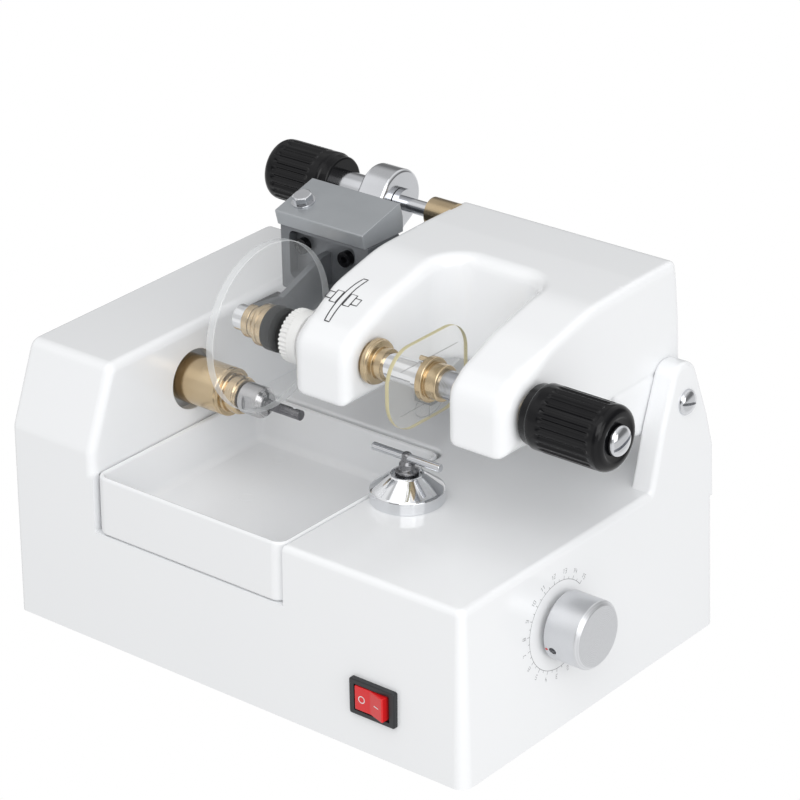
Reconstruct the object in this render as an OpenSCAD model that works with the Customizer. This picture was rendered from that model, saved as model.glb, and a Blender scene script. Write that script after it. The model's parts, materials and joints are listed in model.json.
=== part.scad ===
// Pattern lens edger: a drawer-fronted base with a motor, a cutter spindle and a size dial,
// and a tilting head that carries the lens, its clamp and the former pattern.
// Millimetres. X to the right, Y to the rear, Z up.
// Origin on the table, under the middle of the whole machine.

/* [Base] */
// Width of the base
base_w = 243; // [236:1:260]
// Depth of the base
base_d = 173.5; // [168:0.5:190]
// Height of the flat deck above the table
deck_z = 79; // [78:0.5:84]
// Thickness of the cast walls
wall = 2.5; // [2:0.1:3]
// Width of the tower on the left
tower_w = 46.5; // [45:0.5:49]
// Height of the tower above the table
tower_z = 125; // [122:1:130]
// Height at which the tower's front starts to lean back
shoulder_z = 88; // [84:1:92]
// How far the tower's top stands behind the front
tower_lean = 15; // [10:1:20]
// Gap between the casing and the table
foot_gap = 0.8; // [0.8:0.1:3]

/* [Drawer] */
// Width of the deck to the right of the drawer
deck_w = 92.5; // [90:0.5:96]
// Depth of the deck behind the drawer
deck_d = 67; // [65:0.5:72]
// Height of the pocket's floor
pocket_z = 52; // [50:0.5:54]
// Running gap round the drawer
tray_gap = 0.6; // [0.4:0.1:1]
// Wall of the drawer
tray_wall = 2.2; // [1.8:0.1:2.6]
// Floor of the drawer
tray_floor = 2.6; // [2:0.1:3]

/* [Head] */
// Gap between the head and the right ear
ear_gap = 2; // [1:0.5:3]
// Width of the head
head_w = 110; // [108:1:110]
// Width of each arm
arm_w = 30; // [28:1:32]
// Reach of the head in front of the hinge axis
head_ahead = 106; // [105:1:111]
// Reach of the head behind the hinge axis
head_behind = 11; // [9:1:13]
// Underside of the arms
arm_z = 122; // [121:0.5:124]
// Top of the head
head_z = 168.5; // [167:0.5:172]
// Distance from the hinge axis to the rear wall of the bay between the arms
bay_ahead = 43; // [41:1:47]
// Height of the hinge axis
hinge_z = 111; // [109:0.5:113]
// Distance of the hinge axis from the rear of the base
hinge_in = 21.75; // [21.25:0.25:23.75]
// Radius of the hinge pins
hinge_r = 4; // [3:0.5:5]
// Thickness of the right ear
ear_t = 9; // [7:0.5:9]

/* [Lens and pattern] */
// Height of the lens axis
lens_z = 138; // [137.5:0.5:141]
// Distance of the lens axis in front of the hinge axis
lens_ahead = 90.5; // [89:0.5:93]
// Diameter of the lens blank
lens_d = 73; // [66:1:73]
// Thickness of the blank's rim
lens_rim_t = 4; // [3.5:0.5:6]
// Radius of the blank's front curve
lens_front_r = 74; // [70:1:90]
// Width of the former pattern
pattern_w = 50; // [46:1:54]
// Height of the former pattern
pattern_h = 36; // [34:1:44]
// Radius of the spindle
spindle_r = 6; // [5:0.5:6.5]
// Diameter of the ribbed hand knobs
knob_d = 27; // [24:1:30]
// Length of the ribbed hand knobs
knob_l = 43; // [38:1:46]

/* [Cutter] */
// Height of the cutter axis
cutter_z = 98.5; // [97:0.5:99]
// Distance of the cutter axis in front of the hinge axis
cutter_ahead = 85.5; // [83:0.5:87]
// Radius of the brass spindle housing
sleeve_r = 10.5; // [9:0.5:11]
// Radius of the cutter bit
bit_r = 2.2; // [2:0.1:2.8]

/* [Lens clamp] */
// Opening travel of the lens clamp
clamp_travel = 10; // [8:1:12]
// Height of the clamp screw
screw_z = 163; // [162:0.5:165]
// Distance of the clamp screw in front of the hinge axis
screw_ahead = 1; // [0:0.5:3]
// Radius of the clamp screw
screw_r = 3.2; // [3:0.1:4]

/* [Size setting] */
// Height of the dial axis
dial_z = 48; // [46:0.5:50]
// Diameter of the dial
dial_d = 29; // [26:1:32]
// Distance from the base's right side to the pattern rest
rest_from_right = 78.5; // [76:0.5:80]
// Distance of the pattern rest in front of the hinge axis
rest_ahead = 88; // [86:0.5:89]
// Height of the rest bar's centre
rest_z = 98; // [96:0.5:100]
// Length of the rest bar
rest_l = 35; // [30:1:38]

/* [Hidden] */
$fn = 48;

run = 0.06;
soft = 0.3;
cut = 1;
knob_gap = 2;
ear_in = 2.5;
base_x = -(base_w - ear_in - ear_t - ear_gap + knob_gap + knob_l) / 2;
base_x2 = base_x + base_w;
half_d = base_d / 2;
ear_x2 = base_x2 - ear_in;
ear_x = ear_x2 - ear_t;
head_x2 = ear_x - ear_gap;
head_x = head_x2 - head_w;
hinge_y = half_d - hinge_in;
head_front = hinge_y - head_ahead;
head_rear = hinge_y + head_behind;
bay_rear = hinge_y - bay_ahead;
crest_y = hinge_y - 51;
lens_y = hinge_y - lens_ahead;
cutter_y = hinge_y - cutter_ahead;
rest_y = hinge_y - rest_ahead;
screw_y = hinge_y - screw_ahead;
rest_x = base_x2 - rest_from_right;
tower_x = base_x + tower_w;
pocket_w = base_w - tower_w - deck_w;
pocket_d = base_d - deck_d;
casing_z = foot_gap;
edge_r = 3;
corner_r = 6.5;
bay_x = head_x + arm_w;
bay_x2 = head_x2 - arm_w;
ear_r = 13;
post_t = 9;
post_x2 = head_x - 2;
post_x = post_x2 - post_t;
bearing_r = spindle_r + 2;
lug_t = 14;
post_in = 7;
motor_x = tower_x + 4;
motor_r = 27;
motor_gap = 5.25;
motor_y = half_d - wall - motor_gap - motor_r;
motor_z = 38;
motor_l = 80;
rotor_r = 15;
shaft_r = 4;
motor_pulley_r = 13;
cutter_pulley_r = 9;
pulley_w = 9;
pulley_x = base_x + 12;
housing_x = tower_x - wall - 14;
housing_bore_r = 7.5;
nut_l = 12;
post_r = 4;
guide_r = 6.2;
guide_l = 10;
cam_r = 16;
cam_lift = 3;
bar_r = 1.7;
dial_shaft_r = 3.5;
dial_x = base_x2 + 1.5;
dial_l = 16.5;
switch_x = base_x2 - 45;
switch_z = 25.5;
switch_w = 23;
switch_h = 16;
rocker_w = 16.4;
rocker_h = 11;
inlet_x = base_x2 - 60.5;
inlet_z = 36;
inlet_w = 24;
inlet_h = 16;
inlet_t = 2;
inlet_in = 14;
disc_x = head_x - 10.5;
lens_x = disc_x - 3.2;
nut_x = lens_x - 29.8;
step_x = nut_x - 7.5;
bit_end = nut_x + nut_l + 18;
lens_r = lens_d / 2;
lens_t = 2.5;
lens_front_sag = lens_front_r - sqrt(pow(lens_front_r, 2) - pow(lens_r, 2));
lens_back_sag = lens_front_sag + lens_rim_t - lens_t;
lens_back_r = (pow(lens_r, 2) + pow(lens_back_sag, 2)) / (2 * lens_back_sag);
flange_x = bay_x + 1.4;
plunger_r = 5.5;
plunger_travel = 7;
nose_r = 3.9;
pattern_x = bay_x + 27;
pattern_t = 2;
knob_x = head_x2 + knob_gap;
slab_t = 14;
slab_x = head_x - 42;
slab_r = 13;
stem_l = 20.7;
stem_r = 7;
spigot_r = 5;
clamp_knob_l = 32;
guide_y = hinge_y - 38;
guide_z = 144;
guide_rod_r = 4;
block_x = head_x - 55;
block_w = 48;
block_y = hinge_y - 49.5;
block_d = 25;
block_h = 6.8;
block_tilt = 15;
block_lip = 1.8;
bolt_in = 10;
block_z = 162.4;
bracket_y = block_y + 1.5;
bracket_y2 = bracket_y + 21;
bracket_z = 133;
screw_places = [block_x + 9.5, block_x + 33];
arm_t = 4;
elbow_y = lens_y + 17.5;
elbow_r = 8;
arm_x = lens_x - 21.5;
chuck_r = 5.6;
boss_r = 7.5;
pad_x = lens_x - lens_t - 5.9;
chuck_l = pad_x - arm_x + 6;

module at_x(x, y, z) { translate([x, y, z]) rotate([90, 0, 90]) children(); }
module rod_x(x, y, z, r, l) { at_x(x, y, z) cylinder(r = r, h = l); }
module tube_x(x, y, z, r, bore, l) {
  difference() {
    rod_x(x, y, z, r, l);
    rod_x(x - cut, y, z, bore, l + 2 * cut);
  }
}
// A profile in the Y-Z plane carried from x to x2, with its long edges eased by e.
module eased_x(x, x2, e) {
  hull() {
    at_x(x + e, 0, 0) linear_extrude(x2 - x - 2 * e) children();
    at_x(x + 0.3 * e, 0, 0) linear_extrude(x2 - x - 0.6 * e) offset(delta = -0.3 * e) children();
    at_x(x, 0, 0) linear_extrude(x2 - x) offset(delta = -e) children();
  }
}
module rounded_rect(w, d, r) {
  offset(r = r, $fn = 32) square([w - 2 * r, d - 2 * r], center = true);
}

// Base casing

module casing_block() {
  h = deck_z - casing_z;
  translate([base_x + base_w / 2, 0, 0]) hull() {
    translate([0, 0, casing_z]) linear_extrude(h - edge_r) rounded_rect(base_w, base_d, corner_r);
    translate([0, 0, casing_z]) linear_extrude(h - 0.3 * edge_r)
      rounded_rect(base_w - 0.6 * edge_r, base_d - 0.6 * edge_r, corner_r - 0.3 * edge_r);
    translate([0, 0, casing_z]) linear_extrude(h)
      rounded_rect(base_w - 2 * edge_r, base_d - 2 * edge_r, corner_r - edge_r);
  }
}
module tower_profile(inset) {
  polygon([[-half_d + inset, casing_z], [-half_d + inset, shoulder_z - inset / 2],
    [-half_d + tower_lean + inset, tower_z - 2 - inset], [half_d - 5 - inset, tower_z - inset],
    [half_d - inset, tower_z - 5 - inset], [half_d - inset, casing_z]]);
}
module ear_profile() {
  hull() {
    translate([hinge_y - 1, hinge_z + 3]) circle(r = ear_r, $fn = 32);
    polygon([[hinge_y - 23, deck_z - 8], [hinge_y - 23, deck_z + 3], [half_d - 1.7, deck_z + 7],
      [half_d - 1.7, deck_z - 8]]);
  }
}
module base_shell() color("white") {
  difference() {
    union() {
      difference() {
        union() {
          casing_block();
          eased_x(base_x, tower_x, 3) tower_profile(0);
          at_x(ear_x, 0, 0) linear_extrude(ear_t) ear_profile();
        }
        translate([base_x + wall, -half_d + wall, 0])
          cube([base_w - 2 * wall, base_d - 2 * wall, deck_z - wall]);
        at_x(base_x + wall, 0, -cut) linear_extrude(tower_w - 2 * wall) tower_profile(wall + 2);
      }
      translate([tower_x - wall, -half_d + 0.5, pocket_z - wall])
        cube([pocket_w + 2 * wall, pocket_d + wall - 0.5, deck_z - pocket_z + wall - 0.5]);
      rod_x(base_x2 - wall - 6, rest_y, dial_z, 9, 6.5);
      translate([rest_x, rest_y, deck_z - guide_l]) cylinder(r = 11, h = guide_l - 0.5);
      for (x = [base_x + post_in, base_x2 - post_in], y = [-half_d + post_in, half_d - post_in])
        translate([x, y, casing_z + 2]) cylinder(r = 5, h = deck_z - casing_z - 4);
    }
    translate([tower_x, -half_d - cut, pocket_z]) cube([pocket_w, pocket_d + cut, tower_z]);
    rod_x(tower_x - wall - cut, cutter_y, cutter_z, sleeve_r + 2, wall + 2 * cut);
    rod_x(base_x2 - wall - 8, rest_y, dial_z, 6, wall + 10);
    translate([rest_x, rest_y, deck_z - 13]) cylinder(r = 8, h = 15);
    rod_x(ear_x - cut, hinge_y, hinge_z, hinge_r, ear_t + 2 * cut);
    translate([switch_x - switch_w / 2 + 1.5, -half_d - cut, switch_z - switch_h / 2 + 1.5])
      cube([switch_w - 3, wall + 2 * cut, switch_h - 3]);
    translate([inlet_x - inlet_w / 2 - inlet_t, half_d - wall - cut, inlet_z - inlet_h / 2 - inlet_t])
      cube([inlet_w + 2 * inlet_t, wall + 2 * cut, inlet_h + 2 * inlet_t]);
    for (x = [base_x + post_in, base_x2 - post_in], y = [-half_d + post_in, half_d - post_in])
      translate([x, y, 0]) cylinder(r = 1.6, h = 16);
  }
}
module bottom_plate() color("lightgray") {
  difference() {
    translate([base_x + wall + 0.5, -half_d + wall + 0.5, casing_z + 0.2])
      cube([base_w - 2 * wall - 1, base_d - 2 * wall - 1, 1.6]);
    for (x = [base_x + post_in, base_x2 - post_in], y = [-half_d + post_in, half_d - post_in])
      translate([x, y, 0]) cylinder(r = 2.2, h = 8);
  }
}
module feet() color("dimgray") {
  for (x = [base_x + 28, base_x2 - 28], y = [-half_d + 28, half_d - 28])
    translate([x, y, 0]) cylinder(r = 9, h = casing_z + 0.2);
}
module plate_screws() color("silver") {
  for (x = [base_x + post_in, base_x2 - post_in], y = [-half_d + post_in, half_d - post_in])
    translate([x, y, 0.3]) {
      cylinder(r = 3.2, h = casing_z - 0.3 + 0.2);
      cylinder(r = 1.55, h = 12);
    }
}

// Hinge of the head

module hinge_post() color("silver") {
  difference() {
    at_x(post_x, 0, 0) linear_extrude(post_t) hull() {
      translate([hinge_y, hinge_z]) circle(r = 14, $fn = 32);
      translate([hinge_y - 14, deck_z]) square([28, 4]);
    }
    rod_x(post_x - cut, hinge_y, hinge_z, hinge_r, post_t + 2 * cut);
  }
}
module hinge_pins() color("silver") {
  rod_x(post_x - 1.5, hinge_y, hinge_z, hinge_r, head_x + lug_t - 1 - post_x + 1.5);
  rod_x(head_x2 - lug_t + 1, hinge_y, hinge_z, hinge_r, ear_x2 - head_x2 + lug_t - 1);
}
module hinge_screw() color("silver") {
  difference() {
    at_x(ear_x2, hinge_y, hinge_z) {
      cylinder(r = 5.6, h = 1.4);
      translate([0, 0, 1.4]) cylinder(r1 = 5.2, r2 = 2.6, h = 2.2, $fn = 40);
    }
    translate([ear_x2 + 2, hinge_y - 7, hinge_z - 0.6]) cube([4, 14, 1.2]);
  }
}

// Motor and cutter

module motor() color("dimgray") {
  difference() {
    rod_x(motor_x, motor_y, motor_z, motor_r, motor_l);
    rod_x(motor_x + 5, motor_y, motor_z, rotor_r + 0.5, motor_l - 10);
    rod_x(motor_x - cut, motor_y, motor_z, shaft_r + run, motor_l + 2 * cut);
  }
}
module motor_cradle() color("gray") {
  z = casing_z + 1.8;
  difference() {
    for (x = [motor_x + 8, motor_x + motor_l - 20])
      translate([x, motor_y - 21, z]) cube([12, 42, motor_z - z - 8]);
    rod_x(motor_x - cut, motor_y, motor_z, motor_r, motor_l + 2 * cut);
  }
}
module motor_rotor() color("silver") {
  rod_x(motor_x + 8, motor_y, motor_z, rotor_r, motor_l - 16);
  rod_x(pulley_x - 3, motor_y, motor_z, shaft_r, motor_x - pulley_x + motor_l + 6);
}
module pulley(y, z, r) {
  difference() {
    union() {
      rod_x(pulley_x, y, z, r, pulley_w);
      for (x = [pulley_x, pulley_x + pulley_w - 1]) rod_x(x, y, z, r + 2.2, 1);
    }
    rod_x(pulley_x - cut, y, z, shaft_r, pulley_w + 2 * cut);
  }
}
module motor_pulley() color("gainsboro") pulley(motor_y, motor_z, motor_pulley_r);
module cutter_pulley() color("gainsboro") pulley(cutter_y, cutter_z, cutter_pulley_r);
module belt_outline(grow) {
  hull() {
    translate([motor_y, motor_z]) circle(r = motor_pulley_r + grow, $fn = 48);
    translate([cutter_y, cutter_z]) circle(r = cutter_pulley_r + grow, $fn = 48);
  }
}
module drive_belt() color("black") {
  at_x(pulley_x + 1.6, 0, 0) linear_extrude(pulley_w - 3.2) difference() {
    belt_outline(1.8);
    belt_outline(0.3);
  }
}
module spindle_housing() color("darkgoldenrod") {
  difference() {
    union() {
      rod_x(housing_x, cutter_y, cutter_z, sleeve_r, step_x - housing_x);
      rod_x(step_x, cutter_y, cutter_z, 8.2, nut_x - step_x - soft);
      translate([housing_x, cutter_y - 22, cutter_z - 20])
        cube([tower_x - wall - housing_x, 44, 38]);
    }
    rod_x(housing_x - cut, cutter_y, cutter_z, housing_bore_r, step_x - 2 - housing_x + cut);
    rod_x(step_x - 3, cutter_y, cutter_z, shaft_r + 1, nut_x - step_x + 4);
  }
}
module spindle_bearings() color("silver") {
  for (x = [housing_x + 1, step_x - 8])
    tube_x(x, cutter_y, cutter_z, housing_bore_r, shaft_r + run, 6);
}
module cutter_shaft() color("silver")
  rod_x(pulley_x - 1.5, cutter_y, cutter_z, shaft_r, nut_x + 5 - pulley_x + 1.5);
module collet_nut() color("silver") {
  difference() {
    union() {
      intersection() {
        rod_x(nut_x, cutter_y, cutter_z, 7, nut_l);
        at_x(nut_x, cutter_y, cutter_z) cylinder(r = 7.4, h = nut_l, $fn = 8);
      }
    }
    rod_x(nut_x - cut, cutter_y, cutter_z, shaft_r, 5 + cut);
    rod_x(nut_x, cutter_y, cutter_z, bit_r, nut_l + cut);
  }
}
module cutter_bit() color("dimgray") {
  difference() {
    rod_x(nut_x + 5, cutter_y, cutter_z, bit_r, bit_end - nut_x - 5);
    for (a = [0, 180]) at_x(nut_x + nut_l + 1.5, cutter_y, cutter_z) rotate([0, 0, a])
      translate([1.1, -3, 0]) cube([3, 6, 7]);
    at_x(nut_x + nut_l + 12, cutter_y, cutter_z) translate([-0.4, 0.8, 0]) cube([4, 4, 3]);
  }
}

// Pattern rest and its setting dial

module rest_cap() color("silver") {
  translate([rest_x, rest_y, deck_z]) rotate_extrude($fn = 96)
    polygon([[guide_r, 0], [15.6, 0], [15.6, 4.6], [14.8, 5.4], [7.6, 12], [guide_r, 12]]);
}
module rest_guide() color("darkgoldenrod") {
  difference() {
    translate([rest_x, rest_y, deck_z - guide_l]) cylinder(r = 8, h = guide_l);
    translate([rest_x, rest_y, 0]) cylinder(r = post_r + run, h = 200);
  }
  difference() {
    translate([rest_x, rest_y, deck_z]) cylinder(r = guide_r, h = 10);
    translate([rest_x, rest_y, 0]) cylinder(r = post_r + run, h = 200);
  }
}
module rest_post() color("silver") {
  z0 = dial_z + cam_r + soft;
  difference() {
    union() {
      translate([rest_x, rest_y, z0]) cylinder(r = post_r, h = rest_z - 5 - z0);
      translate([rest_x, rest_y, rest_z - 5]) cylinder(r1 = post_r, r2 = 2.4, h = 5, $fn = 40);
    }
    rod_x(rest_x - rest_l, rest_y, rest_z, bar_r, 2 * rest_l);
  }
}
module rest_bar() color("silver") rod_x(rest_x - rest_l / 2, rest_y, rest_z, bar_r, rest_l);
module dial_bush() color("darkgoldenrod")
  tube_x(base_x2 - wall - 6, rest_y, dial_z, 6, dial_shaft_r + run, wall + 7);
module dial_shaft() color("silver")
  rod_x(rest_x - 6, rest_y, dial_z, dial_shaft_r, dial_x + 9 - rest_x + 6);
// Snail cam: its radius falls evenly with the angle, so the post climbs evenly with the dial.
module size_cam() color("gainsboro") {
  difference() {
    at_x(rest_x - 4, rest_y, dial_z) linear_extrude(8) polygon([for (a = [0:10:300])
      let (r = cam_r + cam_lift * (150 - a) / 150, p = a - 60) [r * cos(p), r * sin(p)]]);
    rod_x(rest_x - 5, rest_y, dial_z, dial_shaft_r, 10);
  }
}
module size_dial() color("silver") {
  difference() {
    union() {
      rod_x(dial_x, rest_y, dial_z, dial_d / 2, dial_l - 1);
      at_x(dial_x + dial_l - 1, rest_y, dial_z) cylinder(r1 = dial_d / 2, r2 = dial_d / 2 - 1, h = 1);
    }
    rod_x(dial_x - cut, rest_y, dial_z, dial_shaft_r, 9 + cut);
    at_x(dial_x + 4, rest_y, dial_z) rotate([-90, 0, 200]) cylinder(r = 1.5, h = 20);
  }
}
module dial_set_screw() color("black")
  at_x(dial_x + 4, rest_y, dial_z) rotate([-90, 0, 200])
    translate([0, 0, dial_shaft_r]) cylinder(r = 1.5, h = dial_d / 2 - dial_shaft_r - 1.5);

// Electrical pieces

module switch_body() color("black") {
  difference() {
    union() {
      translate([switch_x - switch_w / 2, -half_d - 1.6, switch_z - switch_h / 2])
        cube([switch_w, 1.6, switch_h]);
      translate([switch_x - switch_w / 2 + 1.5, -half_d, switch_z - switch_h / 2 + 1.5])
        cube([switch_w - 3, 18, switch_h - 3]);
    }
    translate([switch_x - rocker_w / 2 - 1, -half_d - 4, switch_z - rocker_h / 2 - 0.4])
      cube([rocker_w + 2, 14, rocker_h + 0.8]);
  }
}
module rocker() color("red") {
  translate([switch_x, -half_d + 1.5, switch_z - rocker_h / 2]) rotate([0, 0, -8])
    linear_extrude(rocker_h) polygon([[-rocker_w / 2, -4.6], [0, -3.4], [rocker_w / 2, -4.6],
      [rocker_w / 2 - 0.6, 1], [3, 5], [-3, 5], [-rocker_w / 2 + 0.6, 1]]);
}
module inlet_box(grow, y, d) {
  translate([inlet_x - inlet_w / 2 - grow, y, inlet_z - inlet_h / 2 - grow])
    cube([inlet_w + 2 * grow, d, inlet_h + 2 * grow]);
}
module power_inlet() color("black") {
  difference() {
    union() {
      inlet_box(2 * inlet_t, half_d, 1.8);
      inlet_box(inlet_t, half_d - inlet_in - 4, inlet_in + 4);
    }
    inlet_box(0, half_d - inlet_in, inlet_in + 6);
  }
  for (p = [[-7, -2], [0, 2], [7, -2]])
    translate([inlet_x + p[0] - 1, half_d - inlet_in, inlet_z + p[1] - 2]) cube([2, inlet_in - 3, 4]);
}
module stop_switch() color("black") {
  translate([tower_x, crest_y, tower_z - 16]) cube([6.5, 20, 11]);
  for (y = [crest_y + 4, crest_y + 14]) translate([tower_x + 6.5, y, tower_z - 12]) cube([2.4, 1, 3]);
}

// Chip drawer

module tray() color("white") {
  w = pocket_w - 2 * tray_gap;
  d = pocket_d - 1.5;
  x = tower_x + tray_gap;
  h = deck_z - pocket_z - 0.3;
  difference() {
    translate([x, -half_d, pocket_z + 0.3]) cube([w, d, h]);
    translate([x + tray_wall, -half_d + tray_wall, pocket_z + 0.3 + tray_floor])
      cube([w - 2 * tray_wall, d - 2 * tray_wall, h]);
  }
}

// Tilting head

module head_profile() {
  polygon([[head_front, arm_z], [head_front, arm_z + 19], [head_front + 4, arm_z + 26],
    [head_front + 11, arm_z + 31], [crest_y, head_z - 3], [crest_y + 10, head_z - 1.5],
    [head_rear - 12, head_z],
    [head_rear - 5, head_z - 0.4], [head_rear - 3.8, head_z - 1.6], [head_rear - 1.4, head_z - 22],
    [head_rear, arm_z]]);
}
module lug_profile() {
  polygon([[hinge_y - 37, arm_z + 1], [head_rear, arm_z + 1], [head_rear, hinge_z], [hinge_y - 20, hinge_z - 6]]);
  translate([hinge_y - 7, hinge_z]) circle(r = 17, $fn = 32);
}
module arm_hollow(x) {
  at_x(x + 3, 0, -cut) linear_extrude(arm_w - 6) polygon([[head_front + 3, 0],
    [head_front + 3, arm_z + 18], [head_front + 12, arm_z + 27], [crest_y, head_z - 6],
    [bay_rear + 4, head_z - 5], [bay_rear + 4, 0]]);
}
module head_shell() color("white") {
  difference() {
    union() {
      difference() {
        union() {
          eased_x(head_x, head_x2, 4) head_profile();
          eased_x(head_x, head_x2, 4) lug_profile();
        }
        arm_hollow(head_x);
        arm_hollow(bay_x2);
        translate([head_x + 3, bay_rear + 3, 0]) cube([head_w - 6, head_rear - bay_rear - 6, head_z - 4]);
      }
      rod_x(head_x + 1, hinge_y, hinge_z, 10, lug_t - 1);
      rod_x(head_x2 - lug_t, hinge_y, hinge_z, 10, lug_t - 1);
      rod_x(head_x + 1, guide_y, guide_z, 7, 9);
      translate([head_x + 2.5, guide_y - 3, guide_z]) cube([7.5, 6, head_z - guide_z - 3.5]);
    }
    translate([bay_x, head_front - 9, 0]) cube([bay_x2 - bay_x, bay_rear - 12 - head_front + 9, 300]);
    translate([bay_x + 12, head_front, 0]) cube([bay_x2 - bay_x - 24, bay_rear - head_front, 300]);
    for (x = [bay_x + 12, bay_x2 - 12]) translate([x, bay_rear - 12, 0]) cylinder(r = 12, h = 300);
    rod_x(head_x - cut, lens_y, lens_z, bearing_r, head_w + 2 * cut);
    rod_x(head_x - cut, hinge_y, hinge_z, hinge_r + run, head_w + 2 * cut);
    rod_x(head_x - cut, guide_y, guide_z, guide_rod_r, 12);
    rod_x(head_x - cut, screw_y, screw_z, 6.5, 6);
  }
}
module arm_bushes() color("darkgoldenrod") {
  for (x = [head_x - 1, bay_x - 5, bay_x2 - 1, head_x2 - 5])
    tube_x(x, lens_y, lens_z, bearing_r, spindle_r + run, 6);
}
module clamp_bush() color("darkgoldenrod") {
  tube_x(head_x - clamp_travel, screw_y, screw_z, 6.5, screw_r + run, clamp_travel + 3);
}
module clamp_guide() color("silver")
  rod_x(block_x + 6, guide_y, guide_z, guide_rod_r, head_x + 10 - block_x - 6);

// Spindle with the lens and the pattern

module lens_shaft() color("silver") rod_x(disc_x + 9, lens_y, lens_z, spindle_r, flange_x - disc_x - 9);
module drive_disc() color("white") {
  difference() {
    rod_x(disc_x, lens_y, lens_z, 11.5, 9);
    for (i = [0:23]) at_x(disc_x - cut, lens_y, lens_z) rotate([0, 0, i * 15])
      translate([11.5, 0, 0]) cylinder(r = 0.8, h = 5, $fn = 6);
  }
}
module drive_pad() color("black") rod_x(disc_x - 3, lens_y, lens_z, 9.8, 3);
// Points on a sphere's arc of radius r whose crown is at height z, from the axis to the rim.
function arc_points(r, z) = [for (i = [0:12]) let (q = lens_r * i / 12) [q, z - r + sqrt(r * r - q * q)]];
function reversed(list) = [for (i = [len(list) - 1:-1:0]) list[i]];
module lens_blank() color("lightcyan") {
  at_x(lens_x, lens_y, lens_z) rotate_extrude($fn = 96)
    polygon(concat(arc_points(lens_front_r, 0), reversed(arc_points(lens_back_r, -lens_t))));
}
module pattern_flange() color("darkgoldenrod") {
  difference() {
    union() {
      rod_x(flange_x, lens_y, lens_z, 9.6, 3);
      rod_x(flange_x + 3, lens_y, lens_z, 7.2, 9.5);
    }
    rod_x(flange_x, lens_y, lens_z, plunger_r + run, 20);
  }
}
module pattern_plunger() color("silver") {
  x = flange_x + plunger_travel + 0.3;
  difference() {
    union() {
      rod_x(x, lens_y, lens_z, plunger_r, pattern_x - 0.1 - x);
      rod_x(pattern_x - 2.6, lens_y, lens_z, plunger_r + 0.8, 2.5);
    }
    rod_x(pattern_x - 12, lens_y, lens_z, nose_r + run, 20);
  }
}
module pattern_plate() color("lightyellow") {
  difference() {
    at_x(pattern_x, lens_y, lens_z) linear_extrude(pattern_t) hull() {
      for (p = [[-1, 1, 14], [1, 1, 13], [1, -1, 15], [-1, -1, 16]])
        translate([p[0] * (pattern_w / 2 - p[2]), p[1] * (pattern_h / 2 - p[2])])
          circle(r = p[2], $fn = 48);
    }
    rod_x(pattern_x - cut, lens_y, lens_z, nose_r, pattern_t + 2 * cut);
    for (z = [-8, 8]) rod_x(pattern_x - cut, lens_y, lens_z + z, 1.1, pattern_t + 2 * cut);
  }
}
module pattern_collar() color("darkgoldenrod") {
  x = pattern_x + pattern_t;
  difference() {
    union() {
      rod_x(x, lens_y, lens_z, 9.4, 3);
      rod_x(x + 3, lens_y, lens_z, 7.6, 6);
    }
    rod_x(x - cut, lens_y, lens_z, nose_r, 20);
  }
  for (z = [-8, 8]) rod_x(x - pattern_t - 2, lens_y, lens_z + z, 1.1, pattern_t + 2);
}
module pattern_shaft() color("silver") {
  x = pattern_x + pattern_t;
  rod_x(x - 7, lens_y, lens_z, nose_r, 16);
  rod_x(x + 9, lens_y, lens_z, spindle_r, knob_x + 16 - x - 9);
}
module ribbed_knob(l, bore, depth) {
  difference() {
    union() {
      translate([0, 0, 4]) cylinder(r = knob_d / 2, h = l - 5);
      translate([0, 0, l - 1]) cylinder(r1 = knob_d / 2, r2 = knob_d / 2 - 1, h = 1);
      cylinder(r = knob_d / 2 - 1.2, h = 4);
    }
    translate([0, 0, -cut]) cylinder(r = bore, h = depth + cut);
    for (i = [0:15]) rotate([0, 0, i * 22.5]) translate([knob_d / 2 + 0.5, 0, 13])
      cylinder(r = 1.4, h = l, $fn = 16);
  }
}
module hand_knob() color("black") at_x(knob_x, lens_y, lens_z) ribbed_knob(knob_l - 4, spindle_r, 16);
module knob_cap() color("silver") {
  difference() {
    at_x(knob_x + knob_l - 4, lens_y, lens_z) {
      cylinder(r = 6.6, h = 1.6);
      translate([0, 0, 1.6]) cylinder(r1 = 6.2, r2 = 2.6, h = 2.4, $fn = 40);
    }
    translate([knob_x + knob_l - 2.2, lens_y - 8, lens_z - 0.7]) cube([6, 16, 1.4]);
  }
}

// Sliding clamp for the lens

module clamp_slab() color("silver") {
  difference() {
    at_x(slab_x, 0, 0) linear_extrude(slab_t) hull() {
      translate([screw_y + 1, screw_z + 1]) circle(r = slab_r, $fn = 48);
      translate([bracket_y2, guide_z - 8]) square([4, 17]);
    }
    rod_x(slab_x - cut, screw_y, screw_z, screw_r + run, slab_t + 2 * cut);
  }
}
module clamp_block() color("darkgray") at_x(block_x, 0, 0) linear_extrude(block_w)
  polygon([[block_y, block_z], [block_y + block_d, block_z], [block_y + block_d, block_z + block_h],
    [block_y + block_d - block_lip, block_z + block_h + block_d * tan(block_tilt)],
    [block_y - block_lip, block_z + block_h]]);
module block_bolt() color("silver")
  translate([block_x + 8, block_y - block_lip, block_z + block_h]) rotate([block_tilt, 0, 0])
    translate([0, bolt_in, 0]) {
      cylinder(r = 5.2, h = 0.8);
      translate([0, 0, 0.8]) cylinder(r = 4.4, h = 3, $fn = 6);
    }
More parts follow.
